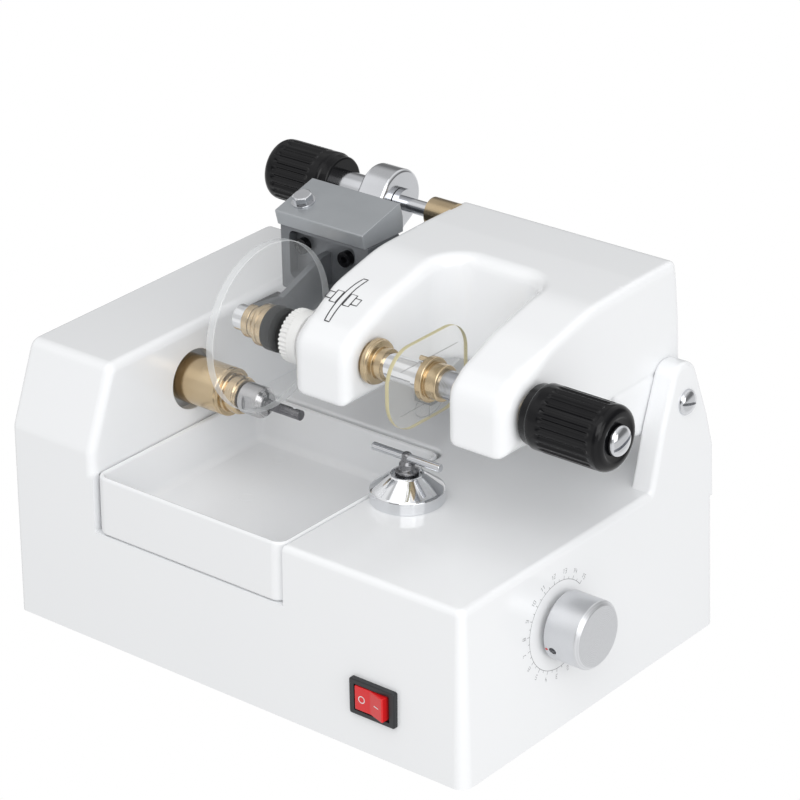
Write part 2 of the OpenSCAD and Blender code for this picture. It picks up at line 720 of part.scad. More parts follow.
module clamp_bracket() color("dimgray") {
  difference() {
    union() {
      difference() {
        translate([block_x, bracket_y, bracket_z])
          cube([block_w, bracket_y2 - bracket_y, block_z - bracket_z]);
        translate([block_x + 5, bracket_y - cut, bracket_z + 6])
          cube([block_w - 12, 5 + cut, block_z - bracket_z - 8]);
      }
      at_x(arm_x, 0, 0) linear_extrude(arm_t) {
        hull() {
          translate([lens_y, lens_z]) circle(r = boss_r, $fn = 48);
          translate([elbow_y, bracket_z + 2]) circle(r = elbow_r, $fn = 32);
        }
        hull() {
          translate([elbow_y, bracket_z + 2]) circle(r = elbow_r, $fn = 32);
          translate([bracket_y, bracket_z]) square([6, 20]);
        }
      }
    }
    rod_x(arm_x - cut, lens_y, lens_z, chuck_r + run, arm_t + 2 * cut);
    rod_x(block_x - cut, guide_y, guide_z, guide_rod_r + run, block_w + 2 * cut);
    for (x = screw_places) translate([x, bracket_y + 5, bracket_z + 20]) rotate([-90, 0, 0])
      cylinder(r = 2, h = 8);
  }
}
module bracket_screws() color("black") {
  for (x = screw_places) translate([x, bracket_y + 5, bracket_z + 20]) rotate([90, 0, 0])
    difference() {
      union() {
        cylinder(r = 3.4, h = 3);
        translate([0, 0, -8]) cylinder(r = 2, h = 8);
      }
      translate([0, 0, 1]) cylinder(r = 1.5, h = 5, $fn = 6);
    }
}
module clamp_screw() color("silver") {
  rod_x(slab_x - soft, screw_y, screw_z, screw_r, head_x + 2 - slab_x);
  rod_x(slab_x + slab_t + soft, screw_y, screw_z, 6.4, 3);
}
module clamp_stem() color("silver") {
  x = slab_x - soft - stem_l;
  rod_x(x, screw_y, screw_z, stem_r, stem_l);
  rod_x(x - 12, screw_y, screw_z, spigot_r, 12);
}
module clamp_knob() color("black")
  translate([slab_x - soft - stem_l, screw_y, screw_z]) rotate([0, -90, 0])
    ribbed_knob(clamp_knob_l, spigot_r, 12);
module chuck_shaft() color("silver") rod_x(arm_x - 6, lens_y, lens_z, chuck_r, chuck_l);
module chuck_collar() color("darkgoldenrod") {
  x = arm_x + arm_t + 0.2;
  difference() {
    union() {
      rod_x(x, lens_y, lens_z, 7, 3.6);
      rod_x(x + 3.6, lens_y, lens_z, 9, pad_x - x - 3.6);
    }
    rod_x(x - cut, lens_y, lens_z, chuck_r, arm_x - 6 + chuck_l - x + cut);
  }
}
module chuck_pad() color("black") rod_x(pad_x, lens_y, lens_z, 9.5, 4.8);

base_shell();
bottom_plate();
feet();
plate_screws();
hinge_post();
hinge_pins();
hinge_screw();
motor();
motor_cradle();
motor_rotor();
motor_pulley();
drive_belt();
spindle_housing();
spindle_bearings();
cutter_shaft();
cutter_pulley();
collet_nut();
cutter_bit();
rest_cap();
rest_guide();
rest_post();
rest_bar();
dial_bush();
dial_shaft();
size_cam();
size_dial();
dial_set_screw();
switch_body();
rocker();
power_inlet();
stop_switch();
tray();
head_shell();
arm_bushes();
clamp_bush();
clamp_guide();
lens_shaft();
drive_disc();
drive_pad();
lens_blank();
pattern_flange();
pattern_plunger();
pattern_plate();
pattern_collar();
pattern_shaft();
hand_knob();
knob_cap();
clamp_slab();
clamp_block();
block_bolt();
clamp_bracket();
bracket_screws();
clamp_screw();
clamp_stem();
clamp_knob();
chuck_shaft();
chuck_collar();
chuck_pad();
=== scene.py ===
# %% [markdown]
# # A pattern lens edger
# The CAD frame gives the mechanism. This notebook gives it its looks: the two white castings, the
# drawer, the knobs, the brass and steel parts of the two spindles, the clear lens and pattern, the
# printed scale, the studio and the camera.
#
# Lengths are in millimetres, from a point on the table under the base's centre: X to the right, Y to
# the rear, Z up. The frame's own origin is 14.75 mm to the right of it, so every mesh is moved by that
# when it is made.

# %% Load the frame
import json
import math

import bpy
import numpy as np
from mathutils import Matrix, Vector


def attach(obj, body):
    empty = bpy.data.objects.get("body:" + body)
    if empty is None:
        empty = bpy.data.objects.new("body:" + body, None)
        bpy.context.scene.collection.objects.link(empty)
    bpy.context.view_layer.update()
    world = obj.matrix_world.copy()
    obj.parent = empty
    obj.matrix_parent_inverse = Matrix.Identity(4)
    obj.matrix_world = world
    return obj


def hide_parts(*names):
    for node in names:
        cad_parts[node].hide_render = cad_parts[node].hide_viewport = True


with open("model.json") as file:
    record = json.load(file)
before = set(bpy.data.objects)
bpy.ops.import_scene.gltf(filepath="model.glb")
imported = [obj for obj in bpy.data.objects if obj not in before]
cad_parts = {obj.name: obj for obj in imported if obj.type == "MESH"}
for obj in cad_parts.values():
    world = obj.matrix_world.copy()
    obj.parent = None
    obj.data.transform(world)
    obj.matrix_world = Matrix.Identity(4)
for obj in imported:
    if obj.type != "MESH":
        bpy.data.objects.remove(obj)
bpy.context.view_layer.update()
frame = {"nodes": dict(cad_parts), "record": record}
FRAME_SHIFT = np.array([-14.75, 0.0, 0.0])
MM = 0.001

# %% [markdown]
# ## Outlines
# A part's outline is a polygon, listed anticlockwise. `rounded` swaps its corners for arcs, inner
# corners too. `inset_directions` says which way each point moves when the outline shrinks, so that
# all its edges move in by the same amount.

# %% Outlines


def rounded(corners, radii, steps=7):
    """The polygon with an arc of the given radius at each corner."""
    corners = np.asarray(corners, float)
    radii = np.broadcast_to(np.asarray(radii, float), len(corners))
    points = []
    for i, (corner, radius) in enumerate(zip(corners, radii)):
        if radius <= 0:
            points.append(corner)
            continue
        before = corners[i - 1] - corner
        after = corners[(i + 1) % len(corners)] - corner
        before /= np.linalg.norm(before)
        after /= np.linalg.norm(after)
        half = math.acos(np.clip(before @ after, -1, 1)) / 2
        middle = before + after
        middle /= np.linalg.norm(middle)
        centre = corner + middle * radius / math.sin(half)
        start = corner + before * radius / math.tan(half) - centre
        end = corner + after * radius / math.tan(half) - centre
        a, b = math.atan2(start[1], start[0]), math.atan2(end[1], end[0])
        turn = (b - a + math.pi) % (2 * math.pi) - math.pi
        for t in np.linspace(0, 1, steps + 1):
            points.append(centre + radius * np.array([math.cos(a + t * turn), math.sin(a + t * turn)]))
    return np.array(points)


def rectangle(x1, x2, y1, y2, radii=0.0, steps=7):
    return rounded([[x1, y1], [x2, y1], [x2, y2], [x1, y2]], radii, steps)


def standing(x1, x2, z1, z2, radii=0.0, steps=7):
    """A rectangle for a prism along Y, which takes its outline as (z, x)."""
    return rectangle(x1, x2, z1, z2, radii, steps)[:, ::-1][::-1]


def circle(cx, cy, radius, count=64):
    a = np.arange(count) * 2 * math.pi / count
    return np.stack([cx + radius * np.cos(a), cy + radius * np.sin(a)], 1)


def hull_of(points):
    """The convex outline round some points, anticlockwise."""
    points = sorted(map(tuple, np.round(points, 6)))

    def turn(a, b, c):
        return (b[0] - a[0]) * (c[1] - a[1]) - (b[1] - a[1]) * (c[0] - a[0])

    def half(seq):
        out = []
        for p in seq:
            while len(out) > 1 and turn(*out[-2:], p) <= 0:
                out.pop()
            out.append(p)
        return out[:-1]

    return np.array(half(points) + half(points[::-1]))


def inset_directions(outline):
    before = outline - np.roll(outline, 1, 0)
    after = np.roll(outline, -1, 0) - outline
    before /= np.linalg.norm(before, axis=1)[:, None] + 1e-12
    after /= np.linalg.norm(after, axis=1)[:, None] + 1e-12
    n1 = np.stack([before[:, 1], -before[:, 0]], 1)
    n2 = np.stack([after[:, 1], -after[:, 0]], 1)
    return -(n1 + n2) / (1 + (n1 * n2).sum(1))[:, None]


print("a rounded square has", len(rectangle(0, 10, 0, 10, 2)), "points")

# %% [markdown]
# ## Solids
# `prism` carries an outline along an axis through a list of rings, each a place and an inset, so one
# list of rings gives drafts, fillets and hollow trays. `lathe` turns a profile about an axis, and its
# radius can also depend on the angle, which makes the flutes of a knob. Every solid is a pair of
# arrays, points and faces, so several can be joined into one piece.

# %% Solids


def to_world(u, v, w, axis):
    """Places a cross-section (u, v) at w along an axis. The order keeps it right-handed."""
    if axis == "z":
        return np.stack([u, v, w], -1)
    if axis == "x":
        return np.stack([w, u, v], -1)
    return np.stack([v, w, u], -1)


def skin_rings(rings, closed=False):
    """Quads between rings of points, with flat ends, or joined end to end."""
    count, around = rings.shape[:2]
    index = np.arange(count * around).reshape(count, around)
    nearer, further = index, np.roll(index, -1, 0)
    if not closed:
        nearer, further = nearer[:-1], further[:-1]
    quads = np.stack([nearer, np.roll(nearer, -1, 1), np.roll(further, -1, 1), further], -1)
    faces = quads.reshape(-1, 4).tolist()
    if not closed:
        faces += [index[0][::-1].tolist(), index[-1].tolist()]
    return rings.reshape(-1, 3), faces


def prism(outline, rings, axis="z", closed=False):
    outline = np.asarray(outline, float)
    directions = inset_directions(outline)
    layers = []
    for place, inset in rings:
        uv = outline + directions * inset
        layers.append(to_world(uv[:, 0], uv[:, 1], np.full(len(uv), float(place)), axis))
    return skin_rings(np.array(layers), closed)


def eased(start, end, radius, radius_end=None, steps=5):
    """Rings from start to end with a round at both ends."""
    radius_end = radius if radius_end is None else radius_end
    a = np.linspace(0, math.pi / 2, steps + 1)
    first = [(start + radius * (1 - math.sin(t)), radius * (1 - math.cos(t))) for t in a[::-1]]
    last = [(end - radius_end * (1 - math.sin(t)), radius_end * (1 - math.cos(t))) for t in a]
    return first + last


def lathe(profile, centre, axis="x", count=96, shape=None):
    """profile: (place along the axis, radius). centre: where the axis is, in the other two directions."""
    profile = np.asarray(profile, float)
    angle = np.arange(count) * 2 * math.pi / count
    place = np.repeat(profile[:, :1], count, 1)
    radius = np.repeat(profile[:, 1:], count, 1)
    if shape is not None:
        radius = shape(place, radius, angle[None, :])
    u = centre[0] + radius * np.cos(angle)
    v = centre[1] + radius * np.sin(angle)
    return skin_rings(to_world(u, v, place, axis))


def softened(profile, radius):
    """The profile with its inner corners rounded by up to radius."""
    profile = np.asarray(profile, float)
    out = [profile[0]]
    for i in range(1, len(profile) - 1):
        corner = profile[i]
        before, after = profile[i - 1] - corner, profile[i + 1] - corner
        cut = min(radius, 0.45 * np.linalg.norm(before), 0.45 * np.linalg.norm(after))
        a = corner + before / (np.linalg.norm(before) + 1e-9) * cut
        b = corner + after / (np.linalg.norm(after) + 1e-9) * cut
        for t in np.linspace(0, 1, 4):
            out.append((1 - t) ** 2 * a + 2 * t * (1 - t) * corner + t * t * b)
    out.append(profile[-1])
    return np.array(out)


def block(lo, hi, ease=0.3):
    return prism(rectangle(lo[0], hi[0], lo[1], hi[1], ease * 1.05, 3), eased(lo[2], hi[2], ease, steps=3))


def turned(solid, axis, degrees, about):
    """The solid turned about a line through a point."""
    points, faces = solid
    a = math.radians(degrees)
    i, j = {"x": (1, 2), "y": (2, 0), "z": (0, 1)}[axis]
    p = points - np.asarray(about, float)
    q = p.copy()
    q[:, i] = p[:, i] * math.cos(a) - p[:, j] * math.sin(a)
    q[:, j] = p[:, i] * math.sin(a) + p[:, j] * math.cos(a)
    return q + np.asarray(about, float), faces


def together(*solids):
    points, faces, base = [], [], 0
    for p, f in solids:
        points.append(p)
        faces += [[i + base for i in face] for face in f]
        base += len(p)
    return np.concatenate(points), faces


print("a cube is", len(block([0] * 3, [1] * 3)[0]), "points")

# %% [markdown]
# ## Cast shapes
# The head is a casting with soft edges everywhere, so it is computed from a distance field: numbers
# below zero are inside. `net` finds the cells of a grid that the surface crosses, puts a point in
# each, pulls the points onto the exact surface and joins neighbours with quads.

# %% Distance fields


def polygon_distance(u, v, corners):
    """Signed distance to a polygon's edge, below zero inside."""
    corners = np.asarray(corners, float)
    nearest = np.full(u.shape, 1e9)
    inside = np.zeros(u.shape, bool)
    for (ax, ay), (bx, by) in zip(corners, np.roll(corners, -1, 0)):
        ex, ey = bx - ax, by - ay
        t = np.clip(((u - ax) * ex + (v - ay) * ey) / (ex * ex + ey * ey), 0, 1)
        nearest = np.minimum(nearest, (u - ax - t * ex) ** 2 + (v - ay - t * ey) ** 2)
        crosses = ((ay > v) != (by > v)) & (u < (v - ay) * ex / (ey if ey else 1e-9) + ax)
        inside ^= crosses
    return np.where(inside, -1, 1) * np.sqrt(nearest)


def round_both(a, b, radius):
    """Inside both fields, with a round of that radius where their surfaces meet."""
    u, v = np.maximum(a + radius, 0), np.maximum(b + radius, 0)
    return np.minimum(np.maximum(a, b), -radius) + np.sqrt(u * u + v * v)


def net(field, lo, hi, step):
    axes = [np.arange(l, h + step, step) for l, h in zip(lo, hi)]
    values = field(*np.meshgrid(*axes, indexing="ij"))
    inside = values < 0
    cells = [slice(None, -1), slice(1, None)]
    corners = [inside[a, b, c] for a in cells for b in cells for c in cells]
    mixed = np.any(corners, 0) & ~np.all(corners, 0)
    number = np.full(mixed.shape, -1)
    number[mixed] = np.arange(mixed.sum())
    at = np.argwhere(mixed)
    middle = np.stack([axes[k][at[:, k]] + step / 2 for k in range(3)], 1)
    points = middle.copy()
    e = step * 0.02
    for _ in range(5):
        d = field(*points.T)
        slope = np.stack(
            [(field(*(points + shift).T) - field(*(points - shift).T)) / (2 * e) for shift in np.eye(3) * e], 1
        )
        points -= slope * (d / np.maximum((slope**2).sum(1), 0.05))[:, None]
        points = middle + np.clip(points - middle, -0.6 * step, 0.6 * step)
    faces = []
    step_along = np.eye(3, dtype=int)
    for k in range(3):
        sides = [(k + 1) % 3, (k + 2) % 3]
        crossed = np.argwhere(np.diff(inside, axis=k))
        within = (crossed[:, sides] > 0) & (crossed[:, sides] < np.array(mixed.shape)[sides])
        crossed = crossed[within.all(1)]
        outward = inside[tuple(crossed.T)]
        around = [crossed + np.array(shift) @ step_along[sides]
                  for shift in ((-1, -1), (0, -1), (0, 0), (-1, 0))]
        quad = np.stack([number[tuple(cell.T)] for cell in around], 1)
        quad[~outward] = quad[~outward][:, ::-1]
        faces += quad.tolist()
    return points, faces


ball = net(lambda x, y, z: np.sqrt(x * x + y * y + z * z) - 5, [-7] * 3, [7] * 3, 1.0)
print("a test ball: radius", round(float(np.linalg.norm(ball[0], axis=1).mean()), 3))

# %% [markdown]
# ## Shader maths
# `Signal` wraps one output of a shader tree, so that patterns read as sums. `Finish` is a material
# being built: `node` adds any other kind of node, and `drive` feeds an input of the surface.

# %% Shader helpers


def operator_pair(operation):
    """An arithmetic operator and its reflected form, each adding one Math node."""
    return (lambda self, other: self.maths(operation, self, other), lambda self, other: self.maths(operation,
        other, self))


class Signal:
    def __init__(self, tree, socket):
        self.tree = tree
        self.socket = socket

    def maths(self, operation, left, right=0.0, clamp=False):
        node = self.tree.nodes.new("ShaderNodeMath")
        node.operation = operation
        node.use_clamp = clamp
        for entry, value in zip(node.inputs, (left, right)):
            if isinstance(value, Signal):
                self.tree.links.new(value.socket, entry)
            else:
                entry.default_value = value
        return Signal(self.tree, node.outputs[0])

    __add__, __radd__ = operator_pair("ADD")
    __sub__, __rsub__ = operator_pair("SUBTRACT")
    __mul__, __rmul__ = operator_pair("MULTIPLY")
    __pow__, __rpow__ = operator_pair("POWER")

    def sine(self):
        return self.maths("SINE", self)

    def clamped(self):
        return self.maths("ADD", self, 0.0, clamp=True)


class Tree:
    """A shader tree with one method that adds a node of any kind."""

    def __init__(self, tree):
        self.tree = tree
        tree.nodes.clear()

    def node(self, kind, inputs=None, output=0, **settings):
        made = self.tree.nodes.new("ShaderNode" + kind)
        for key, value in settings.items():
            setattr(made, key, value)
        for key, value in (inputs or {}).items():
            if isinstance(value, Signal):
                self.tree.links.new(value.socket, made.inputs[key])
            else:
                made.inputs[key].default_value = value
        return Signal(self.tree, made.outputs[output])

    def tone(self, factor, low, high):
        """A colour between two, by a factor."""
        return self.node(
            "Mix", {0: factor, 6: (*low, 1.0), 7: (*high, 1.0)}, output=2, data_type="RGBA", blend_type="MIX"
        )

    def parts(self, vector):
        made = self.tree.nodes.new("ShaderNodeSeparateXYZ")
        self.tree.links.new(vector.socket, made.inputs[0])
        return [Signal(self.tree, out) for out in made.outputs]

    def coordinates(self, which="Object"):
        return self.parts(self.node("TexCoord", output=which))

    def from_axis(self, y, z, axis):
        """The distance from an axis along X."""
        off_y, off_z = y - axis[0] * MM, z - axis[1] * MM
        return (off_y * off_y + off_z * off_z) ** 0.5

    def noise(self, scale, detail=2.0, stretch=(1, 1, 1)):
        place = self.node("Mapping", {"Vector": self.node("TexCoord", output="Object"), "Scale": stretch})
        return self.node("TexNoise", {"Vector": place, "Scale": scale, "Detail": detail})


class Finish(Tree):
    def __init__(self, name, **constants):
        self.material = bpy.data.materials.new(name)
        self.material.use_nodes = True
        super().__init__(self.material.node_tree)
        self.surface = self.tree.nodes.new("ShaderNodeBsdfPrincipled")
        for key, value in constants.items():
            self.surface.inputs[key.replace("_", " ")].default_value = value
        out = self.tree.nodes.new("ShaderNodeOutputMaterial")
        self.tree.links.new(self.surface.outputs[0], out.inputs["Surface"])

    def drive(self, entry, signal):
        self.tree.links.new(signal.socket, self.surface.inputs[entry])
        return self

    def relief(self, height, strength, distance=0.0002):
        return self.drive("Normal", self.node("Bump", {"Height": height, "Strength": strength,
            "Distance": distance}))


print("shader helpers ready")

# %% [markdown]
# ## Materials
# Every finish has its own pattern: a faint unevenness in the enamel, a fine grain in moulded plastic,
# turning lines on the brass and steel, concentric brushing on the dial.

# %% Materials
LENS_AXIS = (-25.5, 138.0)
CUTTER_AXIS = (-20.5, 98.5)
DIAL_AXIS = (-23.0, 48.0)
SCREW_AXIS = (64.0, 163.0)
HINGE_AXIS = (65.0, 111.0)
# Radians of ripple per metre, and the height of a fine relief in metres.
TURNING_LINES, DIAL_LINES, FINE_RELIEF = 9500.0, 9000.0, 0.0001


def varied(name, low, high, rough, rough_spread, patch_scale, grain_scale, relief, metal, more=None):
    """A finish whose tone, gloss and height vary a little."""
    finish = Finish(name, Metallic=metal, **(more or {}))
    patches = finish.noise(patch_scale, 3.0)
    fine = finish.noise(grain_scale, 2.0)
    finish.drive("Base Color", finish.tone(patches, low, high))
    finish.drive("Roughness", fine * rough_spread + (rough - rough_spread / 2))
    if relief:
        finish.relief(fine, relief)
    return finish.material


def turned_metal(name, low, high, rough, axis):
    """Metal turned on a lathe about an axis along X: tone and height follow rings along the axis."""
    finish = Finish(name, Metallic=1.0)
    x, y, z = finish.coordinates()
    ripple = ((x + finish.from_axis(y, z, axis) * 0.7) * TURNING_LINES).sine() * 0.5 + 0.5
    stains = finish.noise(55.0, 3.0)
    finish.drive("Base Color", finish.tone((stains * 0.9 + ripple * 0.1).clamped(), low, high))
    finish.drive("Roughness", ripple * 0.08 + stains * 0.06 + (rough - 0.07))
    finish.relief(ripple, 0.02, FINE_RELIEF)
    return finish.material


def brushed_aluminium():
    """Rings on the face, lengthwise shading on the side."""
    finish = Finish("aluminium", Metallic=0.9)
    x, y, z = finish.coordinates()
    rings = (finish.from_axis(y, z, DIAL_AXIS) * DIAL_LINES + finish.noise(70.0) * 6.0).sine() * 0.5 + 0.5
    grain = finish.noise(900.0, 2.0, (12, 1, 1))
    brushing = rings * 0.5 + grain * 0.5
    finish.drive("Base Color", finish.tone(brushing.clamped(), (0.60, 0.61, 0.63), (0.74, 0.75, 0.77)))
    finish.drive("Roughness", rings * 0.08 + grain * 0.1 + 0.26)
    finish.relief(brushing, 0.06, FINE_RELIEF)
    return finish.material


def clear_material(name, tint, glancing_shade_tint, thin, rim):
    """Clear plastic that shows the scene through it, with painted shade: towards a glancing angle its colour
    turns to a darker tint and grows more opaque.
    """
    finish = Finish(name, Roughness=0.03, IOR=1.5, Specular_IOR_Level=0.6)
    # Painted shade: the facing factor moves the colour to the darker glancing tint and raises the opacity.
    facing = finish.node("LayerWeight", {"Blend": 0.22}, output="Facing")
    specks = finish.noise(160.0, 3.0)
    finish.drive("Base Color", finish.tone(facing, tint, glancing_shade_tint))
    finish.drive("Alpha", (facing ** 2.0 * rim + specks * 0.02 + thin).clamped())
    finish.drive("Roughness", specks * 0.05 + 0.02)
    return finish.material


# Dark tone, light tone, roughness, its spread, scale of patches, scale of grain, relief, metal, more.
VARIED = {
    "white_enamel": ((0.885, 0.897, 0.912), (0.905, 0.915, 0.928), 0.17, 0.05, 12.0, 260.0, 0.012, 0.0,
        {"Coat_Weight": 0.25, "Coat_Roughness": 0.06}),
    "tray_white": ((0.87, 0.88, 0.895), (0.89, 0.90, 0.912), 0.22, 0.06, 15.0, 320.0, 0.015, 0.0,
        {"Coat_Weight": 0.15, "Coat_Roughness": 0.1}),
    "white_nylon": ((0.80, 0.80, 0.79), (0.86, 0.86, 0.85), 0.45, 0.08, 40.0, 600.0, 0.03, 0.0),
    "black_plastic": ((0.003, 0.003, 0.004), (0.007, 0.007, 0.008), 0.17, 0.05, 90.0, 900.0, 0.02, 0.0,
        {"Specular_IOR_Level": 0.22}),
    "switch_black": ((0.008, 0.009, 0.011), (0.016, 0.017, 0.02), 0.34, 0.06, 120.0, 1400.0, 0.1, 0.0),
    "rubber": ((0.006, 0.006, 0.006), (0.014, 0.014, 0.014), 0.6, 0.1, 150.0, 900.0, 0.1, 0.0,
        {"Specular_IOR_Level": 0.2}),
    "red_plastic": ((0.66, 0.012, 0.016), (0.78, 0.02, 0.022), 0.24, 0.06, 80.0, 900.0, 0.02, 0.0),
    "grey_paint": ((0.36, 0.38, 0.40), (0.45, 0.47, 0.49), 0.34, 0.1, 60.0, 1500.0, 0.06, 0.55),
    # On the clamp bracket this dark grey is partly its own colour and partly painted shade for faces that sit
    # in shadow.
    "dark_paint": ((0.12, 0.128, 0.138), (0.22, 0.23, 0.245), 0.36, 0.12, 45.0, 1300.0, 0.08, 0.5),
    "zinc_plate": ((0.42, 0.43, 0.44), (0.56, 0.57, 0.58), 0.4, 0.12, 60.0, 800.0, 0.05, 0.8),
    "motor_black": ((0.02, 0.02, 0.022), (0.05, 0.05, 0.055), 0.42, 0.1, 60.0, 900.0, 0.1, 0.0),
    "chrome": ((0.70, 0.71, 0.73), (0.80, 0.81, 0.83), 0.07, 0.04, 60.0, 500.0, 0.01, 1.0),
    "soft_chrome": ((0.56, 0.57, 0.59), (0.72, 0.73, 0.76), 0.16, 0.08, 50.0, 380.0, 0.04, 1.0),
    "dark_steel": ((0.13, 0.13, 0.14), (0.30, 0.30, 0.31), 0.26, 0.1, 220.0, 900.0, 0.05, 1.0),
    "pattern_edge": ((0.50, 0.45, 0.26), (0.62, 0.57, 0.36), 0.3, 0.1, 200.0, 900.0, 0.02, 0.0),
    "ink": ((0.03, 0.03, 0.032), (0.06, 0.06, 0.065), 0.5, 0.1, 300.0, 900.0, 0.0, 0.0),
    "grey_ink": ((0.22, 0.22, 0.23), (0.34, 0.34, 0.35), 0.5, 0.1, 300.0, 900.0, 0.0, 0.0),
    "red_ink": ((0.55, 0.01, 0.01), (0.7, 0.02, 0.02), 0.4, 0.1, 300.0, 900.0, 0.0, 0.0),
    "white_ink": ((0.78, 0.74, 0.74), (0.9, 0.88, 0.88), 0.4, 0.1, 300.0, 900.0, 0.0, 0.0),
}
FINISHES = {name: varied(name, *values) for name, values in VARIED.items()}
FINISHES.update(
    steel=turned_metal("steel", (0.36, 0.37, 0.39), (0.56, 0.57, 0.60), 0.24, LENS_AXIS),
    cutter_steel=turned_metal("cutter_steel", (0.42, 0.42, 0.43), (0.62, 0.61, 0.61), 0.26, CUTTER_AXIS),
    brass=turned_metal("brass", (0.46, 0.35, 0.21), (0.66, 0.54, 0.37), 0.22, LENS_AXIS),
    cutter_brass=turned_metal("cutter_brass", (0.52, 0.39, 0.23), (0.72, 0.58, 0.39), 0.2, CUTTER_AXIS),
    aluminium=brushed_aluminium(),
    # The second colour of each clear finish is painted shade, shown where the surface is seen at a glancing
    # angle.
    clear_lens=clear_material("clear_lens", (0.80, 0.82, 0.83), (0.62, 0.65, 0.67), 0.04, 0.5),
    lens_rim=clear_material("lens_rim", (0.84, 0.86, 0.87), (0.66, 0.69, 0.71), 0.42, 0.4),
    clear_pattern=clear_material("clear_pattern", (0.86, 0.86, 0.80), (0.70, 0.68, 0.55), 0.05, 0.35),
)
NODE_FINISH = {
    "cutter_shaft": "cutter_steel", "cutter_bit": "dark_steel", "clamp_stem": "soft_chrome",
    "clamp_screw": "soft_chrome", "rest_post": "dark_steel", "rest_bar": "soft_chrome",
    "switch_body": "switch_black", "stop_switch": "switch_black",
}
for row in frame["record"]["subparts"]:
    node = frame["nodes"][row["node"]]
    node.data.materials.clear()
    node.data.materials.append(FINISHES[NODE_FINISH.get(row["node"], row["material_slot"])])
print("materials:", len(bpy.data.materials))

# %% [markdown]
# ## Making pieces
# `piece` turns points and faces into an object that rides on its body and stands for its CAD nodes; it
# takes the material of their slot unless other finishes are named. Wide flat faces keep flat shading next
# to their fillets because the normals are weighted by area. `carved` cuts one solid out of another.

# %% Pieces


def mesh_of(name, solid):
    points, faces = solid
    mesh = bpy.data.meshes.new(name)
    mesh.from_pydata(((np.asarray(points) + FRAME_SHIFT) * MM).tolist(), [], faces)
    mesh.update()
    return mesh


def piece(name, body, solid, slot, node=None, finishes=(), sharp=32.0, weighted=True):
    """finishes names the materials where they aren't the slot's own."""
    mesh = solid if isinstance(solid, bpy.types.Mesh) else mesh_of(name, solid)
    mesh.materials.clear()
    for finish in finishes or [slot]:
        mesh.materials.append(FINISHES[finish])
    mesh.polygons.foreach_set("use_smooth", np.ones(len(mesh.polygons), bool))
    mesh.set_sharp_from_angle(angle=math.radians(sharp))
    obj = bpy.data.objects.new(name, mesh)
    bpy.context.scene.collection.objects.link(obj)
    if weighted:
        shade = obj.modifiers.new("Even shading", "WEIGHTED_NORMAL")
        shade.keep_sharp = True
        shade.weight = 80
    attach(obj, body)
    if node:
        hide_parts(node)
    return obj


def paint(obj, chosen):
    """Gives the second material to the faces for which chosen(index, face) is true."""
    flags = [int(chosen(i, face)) for i, face in enumerate(obj.data.polygons)]
    obj.data.polygons.foreach_set("material_index", flags)


def off_spindle(face):
    """How far a face's centre is from the lens spindle's axis."""
    return math.hypot(face.center.y / MM - LENS_AXIS[0], face.center.z / MM - LENS_AXIS[1])


def turned_piece(name, body, profile, soft, axis, slot, node):
    piece(name, body, lathe(softened(profile, soft), axis), slot, node)


def carved(name, solid, *cutters):
    """The mesh of a solid with the cutters taken out of it."""
    target = bpy.data.objects.new(name, mesh_of(name, solid))
    bpy.context.scene.collection.objects.link(target)
    tools = []
    for cutter in cutters:
        tool = bpy.data.objects.new("cutter", mesh_of("cutter", cutter))
        bpy.context.scene.collection.objects.link(tool)
        cut = target.modifiers.new("cut", "BOOLEAN")
        cut.operation = "DIFFERENCE"
        cut.solver = "EXACT"
        cut.object = tool
        tools.append(tool)
    evaluated = target.evaluated_get(bpy.context.evaluated_depsgraph_get())
    result = bpy.data.meshes.new_from_object(evaluated)
    result.name = name
    for obj in [target, *tools]:
        bpy.data.objects.remove(obj)
    return result


def joined(name, *meshes):
    """Several meshes as one, their parts kept separate."""
    points, faces = [], []
    base = 0
    for mesh in meshes:
        if isinstance(mesh, tuple):
            mesh = mesh_of(name, mesh)
        co = np.zeros(len(mesh.vertices) * 3)
        mesh.vertices.foreach_get("co", co)
        points.append(co.reshape(-1, 3))
        faces += [[v + base for v in p.vertices] for p in mesh.polygons]
        base += len(mesh.vertices)
    result = bpy.data.meshes.new(name)
    result.from_pydata(np.concatenate(points).tolist(), [], faces)
    result.update()
    return result


print("piece helpers ready")

# %% [markdown]
# ## Base casting
# The walls lean in by 2.5 mm in 100 as castings do. The block, the tower and the hinge ear are closed
# solids that run into each other; the drawer's pocket, the mouth of the cutter and the inlet's opening
# are cut out, and the underside is open for the bottom plate.

# %% Base
DRAFT = 0.025
DECK = 79.0
LEFT, RIGHT, FRONT = -122.45, 120.45, -86.7
X, Y = 0, 1


def leaning(solid, axis, wall):
    """Leans the walls at a place along an axis inwards as they rise, fading out over the next 40 mm."""
    points, faces = solid
    points = points.copy()
    side = math.copysign(1, wall)
    near = np.clip(1 - (side * wall - side * points[:, axis]) / 40, 0, 1)
    points[:, axis] -= side * DRAFT * points[:, 2] * near
    return points, faces


arc = np.linspace(0, math.pi / 2, 7)
block_rings = [(0.4, 0.01), (DECK - 3, DRAFT * (DECK - 3))]
block_rings += [(DECK - 3 + 3 * math.sin(t), DRAFT * (DECK - 3) + 3 * (1 - math.cos(t))) for t in arc[1:]]
casing = prism(rectangle(LEFT, RIGHT, FRONT, -FRONT, 5.6, 8), block_rings)
pocket_rings = [(52, 0.0), (DECK - 1.6, 0.0)]
pocket_rings += [(DECK - 1.6 + 1.6 * math.sin(t), -1.6 * (1 - math.cos(t))) for t in arc[1:]]
pocket_rings += [(DECK + 9, -1.6)]
pocket = prism(rectangle(-76, 28, -101, 20, [0, 0, 6, 6]), pocket_rings)
underside = prism(rectangle(LEFT + 3, RIGHT - 3, FRONT + 3, -FRONT - 3, 3), [(-5, 0), (3.4, 0)])
inlet_mouth = block([46, 60, 26], [74, 99, 46])
casing_mesh = carved("casing", casing, pocket, underside, inlet_mouth)

